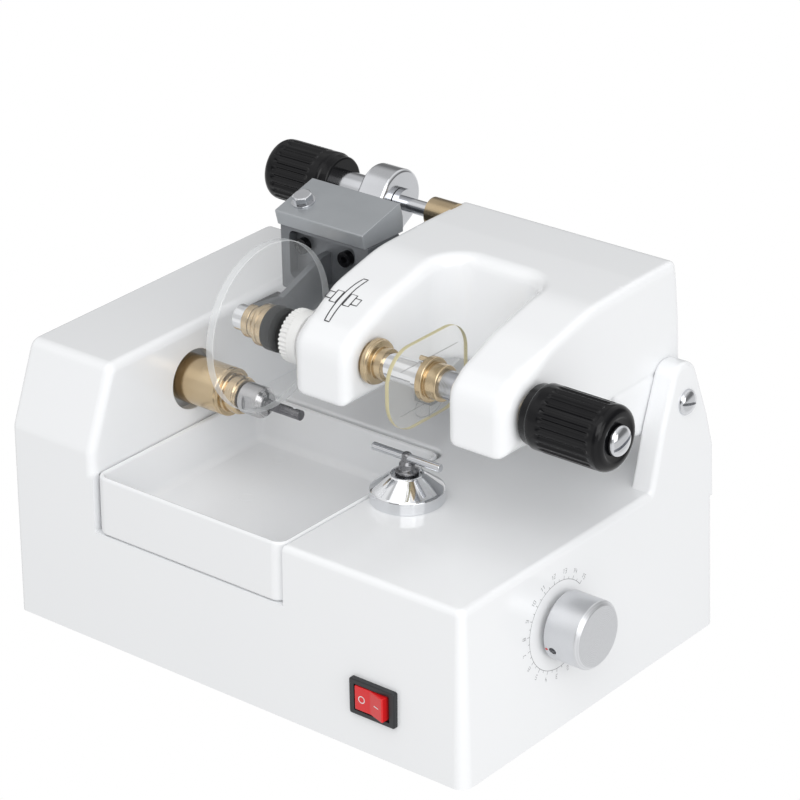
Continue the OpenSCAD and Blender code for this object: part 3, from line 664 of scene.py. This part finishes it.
tower_outline = rounded(
    [[FRONT - 0.01, 0.4], [-FRONT + 0.01, 0.4], [83.6, 124.6], [-70.4, 122.9], [-84.5, 88]], [0, 0, 5, 5.5, 9]
)
tower_points, tower_faces = prism(tower_outline, eased(LEFT - 0.01, -76, 2.5, 4.0, 6), "x")
floor_points = np.tile(np.isclose(tower_outline[:, 1], 0.4), len(tower_points) // len(tower_outline))
tower_points[floor_points, 2] = 0.4
mouth = lathe([(-97, 13.3), (-76.6, 13.3), (-76.2, 13.5), (-76, 13.9), (-60, 13.9)], CUTTER_AXIS)
tower_underside = prism(rectangle(LEFT + 3, -74, FRONT + 3, -FRONT - 3, 3), [(-5, 0), (3.4, 0)])
tower_mesh = carved("tower", (tower_points, tower_faces), mouth, tower_underside)

ear_outline = rounded(
    [[36, 60], [85.6, 60], [85.2, 85], [80.7, 101.5], [70.9, 128.3], [58.2, 128.3], [48.2, 103.3], [43.4, 87.5],
     [40.4, 78.4], [36, 78.4]],
    [0, 0, 8, 30, 9, 7, 40, 12, 3, 0], 10,
)
ear = leaning(prism(ear_outline, eased(109, RIGHT + 0.02, 1.8, 2.6, 5), "x"), X, RIGHT + 0.02)
base = piece("base_casting", "base", joined("base_casting", casing_mesh, tower_mesh, ear), "white_enamel",
    "base_shell")
print("base:", len(base.data.polygons), "faces")

# %% [markdown]
# ## Drawer
# One closed skin: up the outside, over the rounded rim, down the inside and across the floor, with
# two faint ejector marks.

# %% Drawer
tray_rings = [(52.5, 0.7), (52.9, 0.25), (53.6, 0.0), (77.5, 0.0), (78.1, 0.15), (78.5, 0.5), (78.7, 1.1),
    (78.5, 1.75), (78.1, 2.15), (77.4, 2.35)]
tray_rings += [(60.4 - 3.3 * math.sin(t), 2.5 + 3.2 * (1 - math.cos(t))) for t in arc]
tray = leaning(prism(rectangle(-75.4, 27.4, FRONT + 0.05, 18.5, 6, 9), tray_rings), Y, FRONT + 0.05)
marks = [prism(circle(x, y, 3.4, 40), [(57.1, 0), (57.16, 0.0), (57.16, 0.5), (57.1, 0.5)],
    closed=True) for x, y in ((-40, -30), (-52, 5), (0, -60))]
drawer = piece("chip_drawer", "tray", together(tray, *marks), "tray_white", "tray")
print("drawer:", len(drawer.data.polygons), "faces")

# %% [markdown]
# ## Head casting
# A profile carried across the head, with soft ends; the bay between the arms is taken out of it with
# a large round at its edges and a rear wall that leans back. The inside is hollow, open below.

# %% Head
HEAD_X, HEAD_HALF, BAY_HALF, WALL = 52.0, 55.0, 25.0, 3.0
SPINDLE_BORE, HINGE_BORE = 8.05, 4.2
HEAD_PROFILE = rounded(
    [[-42, 121.8], [76.2, 121.8], [75.5, 141], [73.4, 159.5], [72.0, 168.3], [47, 168.3], [14, 167.3],
     [-12, 161.1], [-33, 152.6], [-41.4, 146.6], [-42, 140]],
    [1.5, 1.5, 60, 60, 2.2, 60, 60, 60, 14, 9, 4], 4,
)
LUG_PROFILE = [[28, 124], [40.5, 109], [46, 99], [58, 94.3], [69, 98], [76, 106], [76, 124]]


def head_body(x, y, z):
    nose = np.clip((-14 - y) / 14, 0, 1)
    return round_both(polygon_distance(y, z, HEAD_PROFILE), np.abs(x - HEAD_X) - HEAD_HALF, 3.2 + 3.8 * nose)


def bay(x, y, z):
    """The space between the arms: straight sides, large rear corners, a rear wall leaning back."""
    rear = y - 21.5 - 0.12 * (z - 122)
    return round_both(rear, np.abs(x - HEAD_X) - BAY_HALF, 13.0)


def from_axis(y, z, axis):
    return np.sqrt((y - axis[0]) ** 2 + (z - axis[1]) ** 2)


def head_field(x, y, z):
    lug = round_both(polygon_distance(y, z, LUG_PROFILE), np.abs(x - HEAD_X) - HEAD_HALF, 3.0)
    outer = np.minimum(head_body(x, y, z), lug)
    outer = round_both(outer, -bay(x, y, z), 5.0)
    inner = round_both(head_body(x, y, np.maximum(z, 128)), -bay(x, y, z), 5.0) + WALL
    shell = np.maximum(outer, -inner)
    hinge, spindle = from_axis(y, z, HINGE_AXIS), from_axis(y, z, LENS_AXIS)
    for away, radius, x1, x2 in ((hinge, 10, -2, 10), (hinge, 10, 94, 106), (spindle, 11, -1.5, 25.5),
        (spindle, 11, 78.5, 105.5)):
        shell = np.minimum(shell, np.maximum(away - radius, np.maximum(x1 - x, x - x2)))
    return np.maximum(np.maximum(shell, SPINDLE_BORE - spindle), HINGE_BORE - hinge)


HEAD_STEP = 1.0
head_solid = net(head_field, [-5, -46, 91], [109, 78, 171], HEAD_STEP)
head = piece("head_casting", "head", head_solid, "white_enamel", "head_shell", sharp=50, weighted=False)
print("head:", len(head.data.polygons), "faces")

# %% [markdown]
# ## Knobs
# The two knobs are the same shape: a plain collar, then flutes that fade in, and a rounded
# end. A domed, slotted screw closes the right one.

# %% Knobs
FLUTES, FLUTE_DEPTH = 24, 0.85


def knob_profile(length):
    radius = 13.5
    rise = [(0.0, radius - 2.2), (0.3, radius - 1.4), (1.0, radius - 1.0), (3.6, radius - 0.9), (4.2,
        radius - 0.35), (4.9, radius)]
    body = [(s, radius) for s in np.linspace(6.5, length - 3.8, 34)]
    a = np.linspace(0, math.pi / 2, 9)
    end = [(length - 3.6 + 3.6 * math.sin(t), radius - 3.6 * (1 - math.cos(t))) for t in a]
    return rise + body + end + [(length, radius - 4.5), (length - 0.6, radius - 5.2), (length - 0.6, 1.0)]


def fluted(length):
    def shape(place, radius, angle):
        start = np.clip((place - 9.5) / 1.6, 0, 1) * np.clip((length - 5.0 - place) / 1.6, 0, 1)
        wave = (0.5 - 0.5 * np.cos(angle * FLUTES)) ** 0.7
        groove = np.clip(1 - np.abs(wave - 1) * 1.5, 0, 1)
        fade = start * start * (3 - 2 * start) * (radius > 9.5)
        return radius - FLUTE_DEPTH * groove * fade
    return shape


def knob(length, axis):
    return lathe(knob_profile(length), axis, count=480, shape=fluted(length))


right_knob = knob(39.2, LENS_AXIS)
right_knob[0][:, 0] += 109
piece("right_knob", "lens_spindle", right_knob, "black_plastic", "hand_knob", sharp=60)


def mirrored(solid, at):
    """The solid reflected along X, so that what starts at 0 runs left from a place."""
    points, faces = solid
    points = points.copy()
    points[:, 0] = at - points[:, 0]
    return points, [face[::-1] for face in faces]


left_knob = mirrored(knob(35.0, SCREW_AXIS), -62.9)
piece("left_knob", "clamp_knob", left_knob, "black_plastic", "clamp_knob", sharp=60)


def dome(radius, height, base_x):
    lip = 0.5
    a = np.linspace(0, math.pi / 2 * 0.97, 12)
    profile = [(base_x, radius - 0.3), (base_x + 0.2, radius), (base_x + lip, radius)]
    profile += [(base_x + lip + (height - lip) * math.sin(t), radius * math.cos(t) ** 0.85) for t in a[1:]]
    return profile


cap = carved("knob_cap", lathe(dome(6.4, 3.6, 148.1), LENS_AXIS), turned(block([150.0, -34.5, 137.3], [156,
    -16.5, 138.7], 0.05), "x", 20, (0, *LENS_AXIS)))
piece("knob_screw", "lens_spindle", cap, "chrome", "knob_cap", ["soft_chrome"])
hinge_head = carved("hinge_head", lathe(dome(5.6, 3.4, 117.3), HINGE_AXIS), turned(block([119.2, 57, 110.4],
    [124, 73, 111.6], 0.05), "x", -12, (0, *HINGE_AXIS)))
piece("hinge_cap", "base", hinge_head, "chrome", "hinge_screw", ["soft_chrome"])
print("knobs and screws made")

# %% [markdown]
# ## Spindle with the lens and the pattern
# The blank is a meniscus: two spherical faces, a ground rim with its own finish. The former pattern
# is a thin plate whose edge catches yellow, with faint guide lines.

# %% Lens and pattern
LENS_RADIUS = 36.5
FRONT_RADIUS = 74.0
SAG = FRONT_RADIUS - math.sqrt(FRONT_RADIUS**2 - LENS_RADIUS**2)
BACK_SAG = SAG + 1.3
BACK_RADIUS = (LENS_RADIUS**2 + BACK_SAG**2) / (2 * BACK_SAG)
q = LENS_RADIUS * np.sin(np.linspace(0.01, math.pi / 2, 40))
front = [(-16.7 - (FRONT_RADIUS - math.sqrt(FRONT_RADIUS**2 - r * r)), r) for r in q * 0.992]
back = [(-19.2 - (BACK_RADIUS - math.sqrt(BACK_RADIUS**2 - r * r)), r) for r in q * 0.992]
rim = [(front[-1][0] - 0.3, LENS_RADIUS), (back[-1][0] + 0.3, LENS_RADIUS)]
LENS_STEPS = 160
lens_points, lens_faces = lathe(back + rim[::-1] + front[::-1], LENS_AXIS, count=LENS_STEPS)
lens = piece("lens", "lens_spindle", (lens_points, lens_faces), "clear_lens", "lens_blank", ["clear_lens",
    "lens_rim"], sharp=40, weighted=False)
rim_rows = range(len(back) - 1, len(back) + 2)
paint(lens, lambda i, face: i // LENS_STEPS in rim_rows and len(face.vertices) == 4)

pattern_circles = [(-11, 4, 14), (12, 5, 13), (10, -3, 15), (-9, -2, 16)]
pattern_outline = hull_of(np.concatenate([circle(LENS_AXIS[0] + u, LENS_AXIS[1] + v, r, 80) for u, v,
    r in pattern_circles]))
plate_mesh = carved("pattern", prism(pattern_outline, eased(54, 56, 0.25, steps=2), "x"), lathe([(53, 3.9),
    (57, 3.9)], LENS_AXIS, count=48))
plate = piece("pattern_plate", "lens_spindle", plate_mesh, "clear_pattern", "pattern_plate", ["clear_pattern",
    "pattern_edge"], sharp=25, weighted=False)
paint(plate, lambda i, face: abs(face.normal.x) < 0.9 and off_spindle(face) > 10)


def ribbon(paths, width, place, lift):
    """Flat strokes along paths. place maps (u, v) arrays to world points and outward directions."""
    points, faces = [], []
    for path in paths:
        path = np.asarray(path, float)
        along = np.gradient(path, axis=0)
        along /= np.linalg.norm(along, axis=1)[:, None] + 1e-12
        across = np.stack([-along[:, 1], along[:, 0]], 1) * width / 2
        sides = []
        for offset in (across, -across):
            spot, outward = place(*(path + offset).T)
            sides.append(spot + outward * lift)
        base = sum(len(p) for p in points)
        count = len(path)
        points += sides
        for i in range(count - 1):
            faces.append([base + i, base + count + i, base + count + i + 1, base + i + 1])
    return np.concatenate(points), faces


def strokes(name, body, paths, width, place, lift, finish, slot):
    """A piece made of flat strokes: print, guide lines or signs."""
    piece(name, body, ribbon(paths, width, place, lift), slot, finishes=[finish], weighted=False)


PLATE_FACE = 56.0


def on_plate(u, v):
    return np.stack([np.full(len(u), PLATE_FACE), u, v], 1), np.tile([1.0, 0.0, 0.0], (len(u), 1))


ring_line = [[LENS_AXIS[0] + 9 * math.cos(t), LENS_AXIS[1] - 11 + 5 * math.sin(t)] for t in np.linspace(0.4,
    2.4 * math.pi, 30)]
guides = [[(-44, 128), (-9, 128)], [(-43, 147), (-7, 147)], [(-25.5, 121), (-25.5, 130)], ring_line]
strokes("pattern_lines", "lens_spindle", guides, 0.25, on_plate, 0.05, "grey_ink", "clear_pattern")

turned_piece("brass_flange", "lens_spindle", [(28.4, 6.0), (28.4, 9.6), (30.2, 9.6), (30.6, 9.1), (31.4, 9.1),
    (31.8, 6.8), (36.0, 6.8), (36.0, 5.6)], 0.25, LENS_AXIS, "brass", "pattern_flange")
collar = lathe(softened([(56, 4.0), (56, 9.4), (58.6, 9.4), (59.0, 8.9), (59.0, 7.6), (64.5, 7.6), (65, 7.1),
    (65, 4.0)], 0.25), LENS_AXIS)
pegs = [lathe([(51.9, 0.8), (52.1, 1.1), (56.2, 1.1)], (LENS_AXIS[0], LENS_AXIS[1] + dz),
    count=24) for dz in (-8, 8)]
piece("brass_collar", "lens_spindle", together(collar, *pegs), "brass", "pattern_collar")


def toothed(place, radius, angle):
    tooth = np.clip(np.cos(angle * 36) * 2, -1, 1) * 0.35
    return radius - np.where((radius > 11) & (place < -9.3), 0.35 - tooth, 0.0)


disc = lathe([(-13.5, 9.0), (-13.5, 11.2), (-13.1, 11.5), (-10.4, 11.5), (-9.4, 11.5), (-9.2, 11.5), (-5.2,
    11.5), (-4.6, 11.0), (-4.5, 6.0)], LENS_AXIS, count=360, shape=toothed)
piece("drive_disc_look", "lens_spindle", disc, "white_nylon", "drive_disc", sharp=50)
turned_piece("drive_pad_look", "lens_spindle", [(-16.5, 2.0), (-16.5, 9.6), (-13.5, 9.8), (-13.5, 3.0)], 0.4,
    LENS_AXIS, "rubber", "drive_pad")
print("lens, pattern and spindle made")

# %% [markdown]
# ## Cutter
# The brass housing has a step and a fine groove, the steel nut two flats and a slot.

# %% Cutter
sleeve = lathe(softened([(-92, 7.6), (-92, 10.5), (-56.4, 10.5), (-55.9, 10.1), (-55.3, 10.1), (-54.8, 10.5),
    (-54, 10.4), (-54, 8.6), (-53.4, 8.2), (-48.5, 8.2), (-47.9, 7.6), (-46.9, 7.6), (-46.9, 5.1), (-48.5,
    5.1)], 0.25), CUTTER_AXIS)
seat = block([-92.5, -42.5, 78.5], [-80.5, 1.5, 116.5], 0.5)
housing = piece("cutter_housing", "base", together(sleeve, seat), "brass", "spindle_housing", ["cutter_brass",
    "zinc_plate"])
paint(housing, lambda i, face: i >= len(sleeve[1]))
nut_body = lathe(softened([(-46.5, 4.1), (-46.5, 6.2), (-46.1, 6.8), (-36.8, 6.8), (-34.9, 5.2), (-34.5, 4.8),
    (-34.5, 2.3), (-38.5, 2.3)], 0.3), CUTTER_AXIS)
y0 = CUTTER_AXIS[0]
flats = [block([-43.5, y0 + side, 90], [-38.1, y0 + side + 11.3, 107]) for side in (5.7, -17)]
slot_cut = block([-36.2, y0 - 0.7, 88], [-33, y0 + 0.7, 109], 0.05)
piece("nut", "cutter", carved("nut", nut_body, *flats, slot_cut), "steel", "collet_nut", ["cutter_steel"])
print("cutter made")

# %% [markdown]
# ## Pattern rest
# A polished cone with a straight rim, a small turned post on it and the bar that the pattern rests on.

# %% Pattern rest
REST = (42.0, -23.0)


def upright(profile, count=96):
    return lathe(profile, REST, "z", count)


cone = upright(softened([(79, 6.3), (79, 15.6), (84.2, 15.6), (84.9, 14.9), (90.4, 7.4), (91, 6.8), (91, 6.2),
    (90, 6.2)], 0.3))
piece("rest_cone", "base", cone, "chrome", "rest_cap")
neck = upright(softened([(64.4, 0.5), (64.4, 4.0), (89.4, 4.0), (89.8, 4.9), (92.2, 4.9), (92.7, 4.3), (93.3,
    3.4), (95.2, 3.3), (96.4, 2.3), (99.2, 2.1), (100.0, 1.4), (100.1, 0.3)], 0.25))
piece("rest_neck", "rest", neck, "steel", "rest_post", ["dark_steel"])
bar = lathe(softened([(24.5, 0.2), (24.5, 1.5), (24.8, 1.7), (59.2, 1.7), (59.5, 1.5), (59.5, 0.2)], 0.15),
    (REST[1], 98.0), count=40)
piece("rest_tbar", "rest", bar, "steel", "rest_bar", ["soft_chrome"])
print("pattern rest made")

# %% [markdown]
# ## Size dial and its scale
# The dial is turned aluminium with a chamfer, a set-screw hole and a red mark. The scale is printed
# on the wall: an arc, a tick for every step and a number at every second one. The digits are drawn
# with straight strokes on a small grid.

# %% Dial
DIAL_R = 14.5
dial_profile = softened([(121.5, 4.0), (121.5, 13.9), (122.2, 14.5), (136.6, 14.5), (138.3, 12.9), (138.4,
    0.4)], 0.35)


MARK_TURN = math.radians(199.0)
hole = prism(circle(125.9, 0, 1.7, 32), [(DIAL_R - 4, 0), (DIAL_R + 3, 0)], "z")
outward = np.array([0, math.cos(MARK_TURN), math.sin(MARK_TURN)])
sideways = np.array([0, -math.sin(MARK_TURN), math.cos(MARK_TURN)])
hole_points = (np.outer(hole[0][:, 0], [1, 0, 0]) + np.outer(hole[0][:, 1], sideways) + np.outer(hole[0][:,
    2], outward) + np.array([0, *DIAL_AXIS]))
dial_mesh = carved("dial", lathe(dial_profile, DIAL_AXIS, count=128), (hole_points,
    [f[::-1] for f in hole[1]]))
piece("dial", "dial", dial_mesh, "aluminium", "size_dial")
DIGITS = {
    "0": [[(0, 0), (0, 2), (1, 2), (1, 0), (0, 0)]],
    "1": [[(0.2, 1.6), (0.6, 2), (0.6, 0)]],
    "2": [[(0, 2), (1, 2), (1, 1), (0, 1), (0, 0), (1, 0)]],
    "3": [[(0, 2), (1, 2), (1, 0), (0, 0)], [(0.3, 1), (1, 1)]],
    "4": [[(0, 2), (0, 0.9), (1, 0.9)], [(0.8, 1.6), (0.8, 0)]],
    "5": [[(1, 2), (0, 2), (0, 1.1), (1, 1.1), (1, 0), (0, 0)]],
    "6": [[(1, 2), (0, 2), (0, 0), (1, 0), (1, 1.1), (0, 1.1)]],
    "7": [[(0, 2), (1, 2), (0.4, 0)]],
    "8": [[(0, 0), (0, 2), (1, 2), (1, 0), (0, 0)], [(0, 1), (1, 1)]],
    "9": [[(0, 0), (1, 0), (1, 2), (0, 2), (0, 1), (1, 1)]],
}


def number_strokes(text, centre, size, turn):
    """Strokes of a number, upright where turn is 0, in (u, v) with u towards the rear."""
    width = len(text) * 1.5 - 0.5
    c, s = math.cos(turn), math.sin(turn)
    paths = []
    for k, digit in enumerate(text):
        for stroke in DIGITS[digit]:
            xy = (np.array(stroke, float) + [k * 1.5 - width / 2, -1]) * size / 2
            paths.append(np.stack([centre[0] + xy[:, 0] * c - xy[:, 1] * s, centre[1] + xy[:, 0] * s + xy[:,
                1] * c], 1))
    return paths


def on_right_wall(u, v):
    """A point of the drafted right wall, from its place to the rear and its height."""
    spot = np.stack([RIGHT - DRAFT * v, u, v], 1)
    return spot, np.tile([1.0, 0.0, DRAFT], (len(u), 1))


SCALE = (-24.0, 47.2)
FIRST, STEP_TURN, TICKS = 322.0, -9.4, 31
scale_paths, number_paths = [], []
angles = [math.radians(FIRST + STEP_TURN * k) for k in range(TICKS)]
scale_paths.append([[SCALE[0] + 19.0 * math.cos(t),
    SCALE[1] + 19.0 * math.sin(t)] for t in np.linspace(angles[0], angles[-1], 90)])
for k, t in enumerate(angles):
    reach = 20.6 if k % 2 == 0 else 20.0
    scale_paths.append([[SCALE[0] + r * math.cos(t), SCALE[1] + r * math.sin(t)] for r in (19.0, reach)])
    if k % 2 == 0:
        spot = (SCALE[0] + 22.6 * math.cos(t), SCALE[1] + 22.6 * math.sin(t))
        number_paths += number_strokes(str(k // 2), spot, 1.9, t - math.pi / 2)
strokes("scale_ticks", "base", scale_paths, 0.22, on_right_wall, 0.03, "grey_ink", "white_enamel")
strokes("scale_numbers", "base", number_paths, 0.24, on_right_wall, 0.03, "grey_ink", "white_enamel")
dot_points = []
for t in np.arange(20) * 2 * math.pi / 20:
    turn = MARK_TURN + 0.62 * math.sin(t) / DIAL_R
    dot_points.append([122.9 + 0.62 * math.cos(t), DIAL_AXIS[0] + (DIAL_R + 0.03) * math.cos(turn),
        DIAL_AXIS[1] + (DIAL_R + 0.03) * math.sin(turn)])
piece("dial_mark", "dial", (np.array(dot_points), [list(range(20))]), "red_plastic", finishes=["red_ink"],
    weighted=False)
print("dial made, with", TICKS, "ticks")

# %% [markdown]
# ## Switch
# A black bezel with a sunk well, and the red rocker tipped by 8 degrees, with its ring and bar.

# %% Switch
SWITCH_X, SWITCH_Z = 75.5, 25.5
PIVOT_Y, ROCKER_TIP = -85.25, -8.0
frame_outline = standing(SWITCH_X - 11.5, SWITCH_X + 11.5, SWITCH_Z - 8, SWITCH_Z + 8, 0.9, 4)
well = block([SWITCH_X - 9.0, -99, SWITCH_Z - 5.9], [SWITCH_X + 9.0, -86.9, SWITCH_Z + 5.9], 0.2)
bezel = carved("bezel", prism(frame_outline, eased(-88.3, -85.9, 0.5, 0.1, 3), "y"), well)
piece("switch_bezel", "base", bezel, "black_plastic", "switch_body", ["switch_black"])
rocker_outline = rounded([[-8.1, -4.5], [0, -3.3], [8.1, -4.5], [7.6, 1], [3, 4.8], [-3, 4.8], [-7.6, 1]],
    [0.5, 3, 0.5, 0.5, 1, 1, 0.5], 4)
rocker_outline = rocker_outline + [SWITCH_X, PIVOT_Y]
rocker = turned(prism(rocker_outline, eased(SWITCH_Z - 5.4, SWITCH_Z + 5.4, 0.45, steps=3)), "z", ROCKER_TIP,
    (SWITCH_X, PIVOT_Y, 0))
piece("rocker_look", "rocker", rocker, "red_plastic", "rocker")


def on_rocker(u, v):
    """A point of the rocker's face: u along it from its centre, v up."""
    face = np.where(np.abs(u) < 0.01, -3.35, -3.3 - 1.2 * np.abs(u) / 8.1)
    a = math.radians(ROCKER_TIP)
    x = SWITCH_X + u * math.cos(a) - face * math.sin(a)
    y = PIVOT_Y + u * math.sin(a) + face * math.cos(a)
    return np.stack([x, y, SWITCH_Z + v], 1), np.tile([0.0, -1.0, 0.0], (len(u), 1))


ring = [[-4.3 + 1.45 * math.cos(t), 1.45 * math.sin(t)] for t in np.linspace(0, 2 * math.pi, 25)]
strokes("rocker_signs", "rocker", [ring, [[2.6, 0], [5.6, 0]]], 0.4, on_rocker, 0.05, "white_ink",
    "red_plastic")
print("switch made")

# %% [markdown]
# ## Lens clamp
# A wedge-shaped block with a bolt, a dark bracket under it with a recess, the arm that holds the
# chuck, and the polished slab on the screw.

# %% Clamp
CLAMP_SPAN = (-58.0, -10.0)
LINK = circle(-8, 135, 8, 48)
wedge_outline = rounded([[15.5, 162.4], [40.5, 162.4], [40.5, 169.2], [38.7, 175.9], [13.7, 169.2]], [0.5,
    0.4, 0.4, 0.6, 0.6], 3)
piece("clamp_wedge", "lens_clamp", prism(wedge_outline, eased(*CLAMP_SPAN, 0.45, steps=3), "x"), "grey_paint",
    "clamp_block")


def tilted(profile, count, shape=None):
    """Something turned on the sloping top of the wedge."""
    solid = lathe(profile, (-50.0, 0.0), "z", count, shape)
    points = solid[0].copy()
    a = math.radians(15)
    along, up = points[:, 1].copy(), points[:, 2].copy()
    points[:, 1] = 23.4 + along * math.cos(a) - up * math.sin(a)
    points[:, 2] = 171.8 + along * math.sin(a) + up * math.cos(a)
    return points, solid[1]


def hexagon(place, radius, angle):
    side = np.abs((angle + math.pi / 6) % (math.pi / 3) - math.pi / 6)
    return np.minimum(radius, 3.85 / np.cos(side))


washer = tilted(softened([(0, 2), (0, 5.2), (0.6, 5.2), (0.6, 2)], 0.2), 64)
bolt = tilted([(0.6, 4.0), (0.7, 4.4), (3.2, 4.4), (3.5, 4.1), (3.8, 3.5), (3.8, 0.3)], 72, hexagon)
piece("wedge_bolt", "lens_clamp", together(washer, bolt), "chrome", "block_bolt", ["soft_chrome"], sharp=25)

bracket_front = prism(standing(*CLAMP_SPAN, 133, 162.4, 0.8, 3), eased(17, 38, 0.6, steps=3), "y")
recess = prism(standing(-53, -17, 139, 160.4, 2.5, 5), [(10, 0), (22, 0)], "y")
arm_outline = hull_of(np.concatenate([circle(*LENS_AXIS, 7.2), LINK]))
link_outline = hull_of(np.concatenate([LINK, [[17, 133.4], [24, 133.4], [24, 153], [17, 153]]]))
bracket = joined("bracket", carved("bracket", bracket_front, recess), prism(arm_outline, eased(-37.6, -34.2,
    0.4, steps=3), "x"), prism(link_outline, eased(-37.5, -34.3, 0.4, steps=3), "x"))
# Painted shade: the bracket's dark paint is partly its own dark grey and partly the shadow its front and right
# faces sit in under the wedge.
bracket_look = piece("clamp_bracket_look", "lens_clamp", bracket, "dark_paint", "clamp_bracket",
    ["dark_paint", "brass"])
paint(bracket_look, lambda i, face: off_spindle(face) < 7.3 and len(face.vertices) == 4)
slab_outline = hull_of(np.concatenate([circle(65, 164, 13, 96), circle(41.5, 149.5, 3.5, 24), circle(41.5,
    139.5, 3.5, 24)]))
slab = carved("slab", prism(slab_outline, eased(-45, -31, 1.6, steps=5), "x"), lathe([(-50, 4.2), (-28, 4.2)],
    SCREW_AXIS, count=48))
piece("clamp_slab_look", "lens_clamp", slab, "chrome", "clamp_slab", ["soft_chrome"])
turned_piece("chuck_collar_look", "chuck", [(-34.0, 5.7), (-34.0, 7.0), (-32.4, 7.0), (-32.2, 6.4), (-31.6,
    6.4), (-31.4, 7.0), (-30.4, 7.0), (-30.4, 9.0), (-28.6, 9.0), (-28.4, 8.5), (-27.8, 8.5), (-27.6, 9.0),
    (-25.1, 9.0), (-25.1, 5.7)], 0.2, LENS_AXIS, "brass", "chuck_collar")
turned_piece("chuck_end", "chuck", [(-44.2, 0.3), (-44.2, 4.6), (-43.4, 5.6), (-38.6, 5.6), (-38.4, 5.2),
    (-25.5, 5.2), (-25.5, 0.3)], 0.25, LENS_AXIS, "chrome", "chuck_shaft")
print("clamp made")

# %% [markdown]
# ## Sign on the arm
# A plain drawing of a lens held between two pads, laid on the sloping top of the left arm.

# %% Sign
TOP = np.array([p for p in HEAD_PROFILE[::-1] if p[1] > 142 and p[0] < 70])


def on_arm(u, v):
    """A point of the arm's top from its place across (u) and to the rear (v)."""
    z = np.interp(v, TOP[:, 0], TOP[:, 1])
    slope = (np.interp(v + 0.5, TOP[:, 0], TOP[:, 1]) - z) / 0.5
    outward = np.stack([np.zeros(len(u)), -slope, np.ones(len(u))], 1)
    outward /= np.linalg.norm(outward, axis=1)[:, None]
    return np.stack([u, v, z], 1), outward


SIGN_Y = -20.0
bow = np.linspace(-1, 1, 25)
left_face = [[8.3 - 2.0 * (1 - t * t), SIGN_Y + 12.5 * t] for t in bow]
right_face = [[10.7 - 1.6 * (1 - t * t), SIGN_Y + 12.5 * t] for t in bow[::-1]]
blade = left_face + right_face + left_face[:1]
pads = []
for x1, x2, half in ((2.7, 5.9, 3.1), (-0.5, 2.7, 1.7), (9.7, 12.9, 3.1), (12.9, 16.1, 1.7)):
    y1, y2 = SIGN_Y - half, SIGN_Y + half
    pads.append([[x1, y1], [x2, y1], [x2, y2], [x1, y2], [x1, y1]])
strokes("arm_sign", "head", [blade, *pads], 0.55, on_arm, 0.08, "ink", "white_enamel")
print("sign made")

# %% [markdown]
# ## Studio
# The backdrop is the world itself, white to the camera and through the clear parts. Diffuse light is
# nearly even, a little stronger from the right. Polished metal sees soft boxes with dark gaps, so
# that it reads as metal.

# %% Studio
world = bpy.data.worlds.new("Studio")
world.use_nodes = True
sky = Tree(world.node_tree)
x, y, z = sky.coordinates("Generated")
even = 0.59 + x * 0.17 - y * 0.13
boxes = ((x * 5.0 + y * 2.0).sine() * 2.2 + 0.5).clamped()
overhead = (z * 4.0 - 1.6).clamped()
table = (z * -5.0 + 0.2).clamped()
glossy_light = (boxes * 0.5 + overhead * 0.4 + table * 0.6 + 0.22).clamped()
rays = world.node_tree.nodes.new("ShaderNodeLightPath")
camera_ray, clear_ray, gloss = [Signal(world.node_tree, rays.outputs[f"Is {kind} Ray"]) for kind in ("Camera",
    "Transmission", "Glossy")]
seen = (camera_ray + clear_ray).clamped()
level = (even * (1 - gloss) + glossy_light * gloss) * (1 - seen) + seen
background = sky.node("Background", {"Color": level, "Strength": 1.0})
out = world.node_tree.nodes.new("ShaderNodeOutputWorld")
world.node_tree.links.new(background.socket, out.inputs["Surface"])
bpy.context.scene.world = world

# Name, place and target in metres, side, watts.
for name, place, target, side, power in (("right box", (1.1, -0.35, 0.45), (0, 0, 0.08), 0.7, 2.9),
    ("front box", (0.62, -0.80, 1.00), (0, 0, 0.08), 0.9, 5.6), ("high box", (-0.1, -0.45, 1.2), (0, 0, 0.1),
    0.8, 1.5), ):
    data = bpy.data.lights.new(name, "AREA")
    data.shape, data.size, data.energy = "SQUARE", side, power
    lamp = bpy.data.objects.new(name, data)
    bpy.context.scene.collection.objects.link(lamp)
    lamp.location = place
    lamp.rotation_euler = (Vector(target) - Vector(place)).to_track_quat("-Z", "Y").to_euler()
print("studio made")

# %% [markdown]
# ## Camera
# Worked out from the straight edges in the photograph: where it stood, where it looked, and its focal
# length in pixels.

# %% Camera
YAW, PITCH, ROLL = (math.radians(v) for v in (39.566, 25.472, -1.020))
FOCAL_PIXELS, PICTURE, SENSOR = 3307.23, 800, 36.0
right = np.array([math.cos(YAW), math.sin(YAW), 0.0])
forward = np.array([-math.sin(YAW) * math.cos(PITCH), math.cos(YAW) * math.cos(PITCH), -math.sin(PITCH)])
up = np.cross(right, forward)
rolled_right = math.cos(ROLL) * right + math.sin(ROLL) * up
rolled_up = -math.sin(ROLL) * right + math.cos(ROLL) * up
place = (np.array([802.34, -946.90, 693.54]) + FRAME_SHIFT) * MM
camera_data = bpy.data.cameras.new("Camera")
camera_data.sensor_width = SENSOR
camera_data.sensor_fit = "HORIZONTAL"
camera_data.lens = SENSOR * FOCAL_PIXELS / PICTURE
camera_data.clip_start, camera_data.clip_end = 0.05, 20.0
camera = bpy.data.objects.new("Camera", camera_data)
bpy.context.scene.collection.objects.link(camera)
matrix = np.eye(4)
matrix[:3, 0], matrix[:3, 1], matrix[:3, 2], matrix[:3, 3] = rolled_right, rolled_up, -forward, place
camera.matrix_world = Matrix(matrix.tolist())
scene = bpy.context.scene
scene.camera = camera
scene.render.engine = "CYCLES"
scene.render.resolution_x = scene.render.resolution_y = PICTURE
scene.render.resolution_percentage = 100
scene.view_settings.view_transform = "Standard"
scene.view_settings.look = "None"
scene.view_settings.exposure = 0.0
scene.cycles.samples = 128
scene.cycles.max_bounces = 10
scene.cycles.transparent_max_bounces = 24
print("camera at", place.round(4).tolist())
